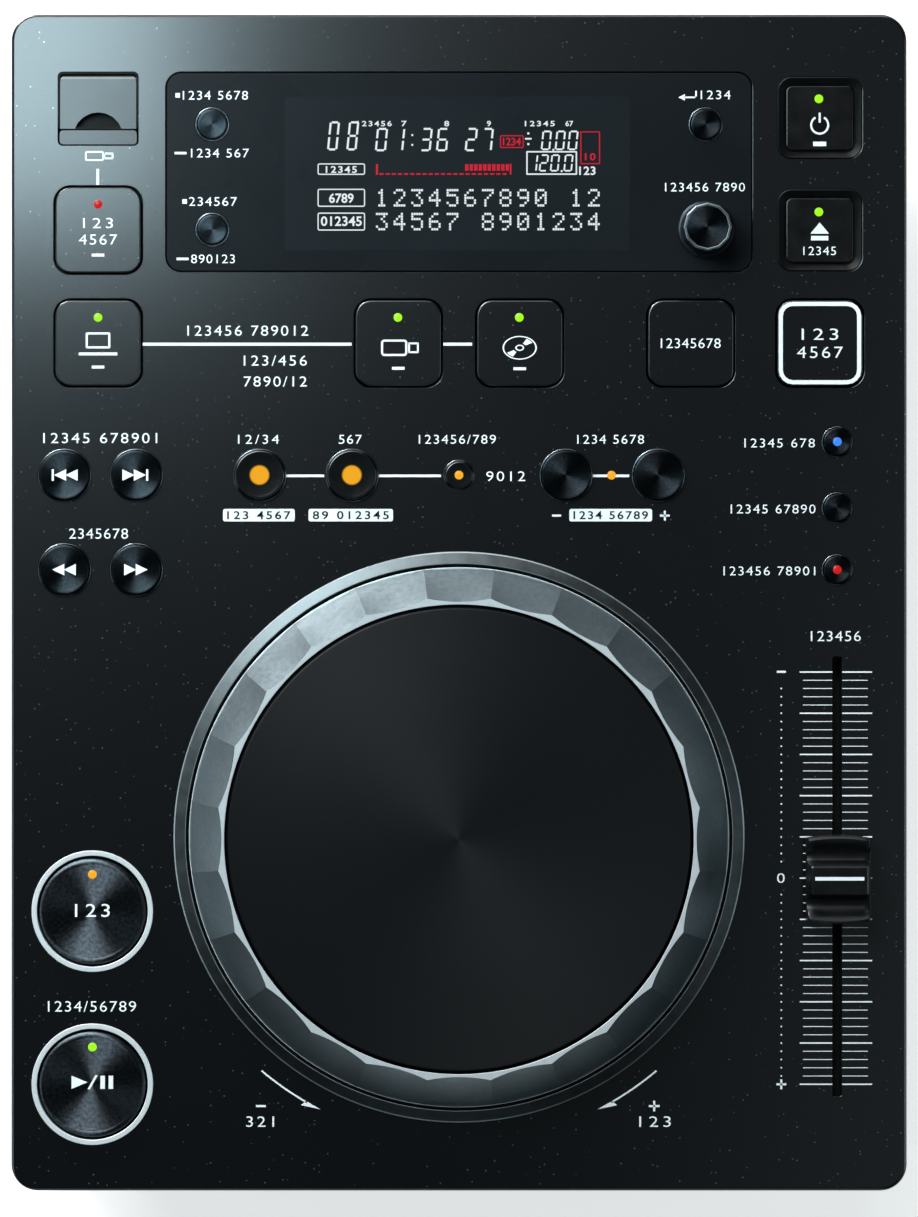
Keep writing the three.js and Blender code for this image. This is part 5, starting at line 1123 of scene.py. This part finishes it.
# Display: a vacuum-fluorescent module behind the smoked sheet, with cool white and red figures.
# The lit segments are drawn as a thin skin at the sheet's face, where they are seen from above.
LIT = 0.02
LIT_AT = DECK_TOP + 0.03
SEGMENTS = {"0": "abcdef", "1": "bc", "2": "abged", "3": "abgcd", "4": "fgbc", "5": "afgcd", "6": "afgedc",
            "7": "abc", "8": "abcdefg", "9": "abcdfg"}
SLANT = 0.1
SEGMENT_ROWS = (
    ("08", (-30.6, -25.9), 113.8, (2.5, 7.1), 0.5),
    ("013627", (-18.9, -14.7, -8.0, -4.0, 3.0, 6.9), 112.9, (2.7, 5.7), 0.48),
    ("000", (21.3, 24.7, 27.8), 112.7, (2.3, 4.8), 0.42),
    ("1200", (18.1, 20.7, 23.4, 26.7), 107.2, (2.1, 4.2), 0.38),
)
POINTS = ((-11.4, 114.0), (-11.4, 111.6), (23.0, 110.4), (25.05, 105.2))
DIVISION_SIGN = ((16.9, 113.1, 1.6, 0.4), (16.9, 114.4, 0.5, 0.5), (16.9, 111.8, 0.5, 0.5))
SMALL_FIGURES = (
    ("123456", -20.6, 116.8, 8.4, 1.35), ("7", -13.4, 116.8, 1.3, 1.35), ("8", -3.0, 116.8, 1.2, 1.35),
    ("9", 7.3, 116.8, 1.0, 1.35), ("12345", 19.7, 116.8, 7.3, 1.35), ("67", 26.9, 116.8, 1.9, 1.35),
    ("123", 31.3, 105.3, 4.0, 2.1), ("12345", -28.7, 105.6, 7.6, 1.7), ("6789", -28.7, 98.6, 6.0, 2.4),
    ("012345", -28.7, 93.0, 10.0, 2.4),
)
ROW_FRAMES = ((105.7, 2.8), (98.7, 4.4), (92.9, 4.4))
DOT_FIGURES = {  # each row's five dots as the bits of a number
    "0": (14, 17, 19, 21, 25, 17, 14), "1": (4, 12, 4, 4, 4, 4, 14), "2": (14, 17, 1, 2, 4, 8, 31),
    "3": (31, 2, 4, 2, 1, 17, 14), "4": (2, 6, 10, 18, 31, 2, 2), "5": (31, 16, 30, 1, 1, 17, 14),
    "6": (6, 8, 16, 30, 17, 17, 14), "7": (31, 1, 2, 4, 8, 8, 8), "8": (14, 17, 17, 14, 17, 17, 14),
    "9": (14, 17, 17, 15, 1, 2, 12),
}
DOT_ROWS = (("1234567890 12", 98.7), ("34567 8901234", 92.9))
DOT_START = -20.0
DOT_PITCH = (0.585, 0.62)
DOT_SIZE = (0.5, 0.53)
FIGURE_PITCH = 4.31
RED_BOXES = (
    ("1234", (12.9, 112.4), (4.4, 1.9), (12.9, 112.4), (5.8, 3.1), 0.4),
    ("10", (32.0, 108.7), (2.6, 1.8), (32.0, 110.9), (4.8, 8.0), 0.2),
)
white_glow = glowing("lit_white_phosphor", "E9F1F4", 0.95)
red_glow = glowing("lit_red_phosphor", "C8102E", 1.0)


def lit(middle, size):
    """A lit rectangle."""
    return block(middle, size, LIT_AT, LIT_AT + LIT)


def segment_figure(figure, middle, size, stroke):
    """One seven-segment figure, upright; its bars stop short of each other."""
    across, up = size[0] / 2, size[1] / 2
    level = size[0] - 2 * stroke
    upright = up - 1.35 * stroke
    places = {"a": (0, up - stroke / 2, level, stroke), "g": (0, 0, level, stroke),
              "d": (0, stroke / 2 - up, level, stroke)}
    for key, side, half in (("f", -1, 1), ("b", 1, 1), ("e", -1, -1), ("c", 1, -1)):
        places[key] = (side * (across - stroke / 2), half * (up / 2), stroke, upright)
    bars = [places[key] for key in SEGMENTS[figure]]
    return [lit((middle[0] + x, middle[1] + y), (width, height)) for x, y, width, height in bars]


lit_white = []
for text, starts, row, size, stroke in SEGMENT_ROWS:
    lean = Matrix(((1, SLANT, 0, -SLANT * row), (0, 1, 0, 0), (0, 0, 1, 0), (0, 0, 0, 1)))
    for figure, start in zip(text, starts):
        for shape in segment_figure(figure, (start, row), size, stroke):
            bmesh.ops.transform(shape, matrix=lean, verts=shape.verts)
            lit_white.append(shape)
lit_white += [lit(point, (0.45, 0.45)) for point in POINTS]
lit_white += [bar((x, y), width, height, LIT_AT) for x, y, width, height in DIVISION_SIGN]
lit_white.append(frame_of((22.6, 107.2), (12.4, 5.8), 0.35, 0.2, LIT_AT))
lit_white += [figures(text, (x, y), width, height, LIT_AT, 0.02)
              for text, x, y, width, height in SMALL_FIGURES]
lit_white += [frame_of((-28.7, y), (11.6, height), 0.28, 0.5, LIT_AT) for y, height in ROW_FRAMES]
for text, row in DOT_ROWS:
    for place_in_row, figure in enumerate(text):
        for line, bits in enumerate(DOT_FIGURES.get(figure, ())):
            y = row + (3 - line) * DOT_PITCH[1]
            for column in range(5):
                if bits >> (4 - column) & 1:
                    x = DOT_START + place_in_row * FIGURE_PITCH + column * DOT_PITCH[0]
                    lit_white.append(lit((x, y), DOT_SIZE))
printed("display_white_figures", "body", lit_white, white_glow)
lit_red = [bar((-20.0, 105.6), 0.5, 2.6, LIT_AT), bar((12.6, 105.7), 0.4, 2.6, LIT_AT)]
lit_red += [bar((-18.9 + step * 1.5, 104.5), 1.0, 0.4, LIT_AT) for step in range(21)]
lit_red += [bar((1.9 + step * 1.1, 106.1), 0.8, 1.6, LIT_AT) for step in range(10)]
for text, text_place, text_size, frame_place, frame_size, corner in RED_BOXES:
    lit_red.append(frame_of(frame_place, frame_size, 0.25, corner, LIT_AT))
    lit_red.append(figures(text, text_place, *text_size, LIT_AT, 0.02))
printed("display_red_figures", "body", lit_red, red_glow)

# Surroundings, which aren't part of the object: a plain pale floor under soft studio light. A near softbox
# over the rear left corner lays the steep glow on the paint, and a low strip behind the deck lights the
# jog ring's flank.
FLOOR_SIZE = 6.0
floor_shape = bmesh.new()
bmesh.ops.create_grid(floor_shape, x_segments=1, y_segments=1, size=FLOOR_SIZE / 2)
floor_mesh = bpy.data.meshes.new("studio_floor")
floor_shape.to_mesh(floor_mesh)
floor_shape.free()
floor = bpy.data.objects.new("studio_floor", floor_mesh)
scene.collection.objects.link(floor)
floor_white = mottled("white_paper_floor", ("F4F4F2", "F8F8F7"), 90.0, (0.88, 0.92), also={
    "Specular IOR Level": 0.1, "Emission Color": (1.0, 1.0, 1.0, 1.0), "Emission Strength": 0.62})
floor_mesh.materials.append(floor_white)


def softbox(name, place, aim, size, power, colour):
    """Hangs a flat rectangular light, in millimetres, turned to face its aim."""
    lamp = bpy.data.lights.new(name, "AREA")
    lamp.shape = "RECTANGLE"
    lamp.size, lamp.size_y = (MM * side for side in size)
    lamp.energy = power
    lamp.color = colour
    box = bpy.data.objects.new(name, lamp)
    box.location = MM * Vector(place)
    box.rotation_euler = (Vector(aim) - Vector(place)).to_track_quat("-Z", "Y").to_euler()
    scene.collection.objects.link(box)


SOFTBOXES = (
    ("softbox_corner_glow", (-215, 247, 492), (-215, 247, 92), (250, 250), 2.48, (0.67, 0.91, 1.0)),
    ("softbox_key", (-498, 829, 1490), (0, 0, 92), (1000, 800), 18.5, (0.99, 0.99, 1.0)),
    ("softbox_low_strip", (-658, 1095, 158), (0, -57, 100), (700, 110), 40.0, (1.0, 0.98, 0.965)),
    ("softbox_rear", (100, 1500, 800), (0, 0, 92), (900, 400), 6.0, (0.9, 0.97, 1.0)),
    ("softbox_right", (1500, -100, 800), (0, 0, 92), (900, 400), 4.0, (0.72, 0.92, 1.0)),
    ("softbox_front", (-100, -1500, 800), (0, 0, 92), (900, 400), 1.0, (0.72, 0.92, 1.0)),
    ("softbox_left", (-1500, -200, 800), (0, 0, 92), (900, 400), 4.0, (0.72, 0.92, 1.0)),
    ("softbox_above_right", (700, -250, 1100), (250, -150, 92), (900, 1200), 0.75, (0.8, 0.94, 1.0)),
)
for lamp_box in SOFTBOXES:
    softbox(*lamp_box)
room = bpy.data.worlds.new("studio_room")
room.use_nodes = True
room.node_tree.nodes["Background"].inputs["Color"].default_value = (0.75, 0.92, 1.0, 1.0)
room.node_tree.nodes["Background"].inputs["Strength"].default_value = 0.032
scene.world = room
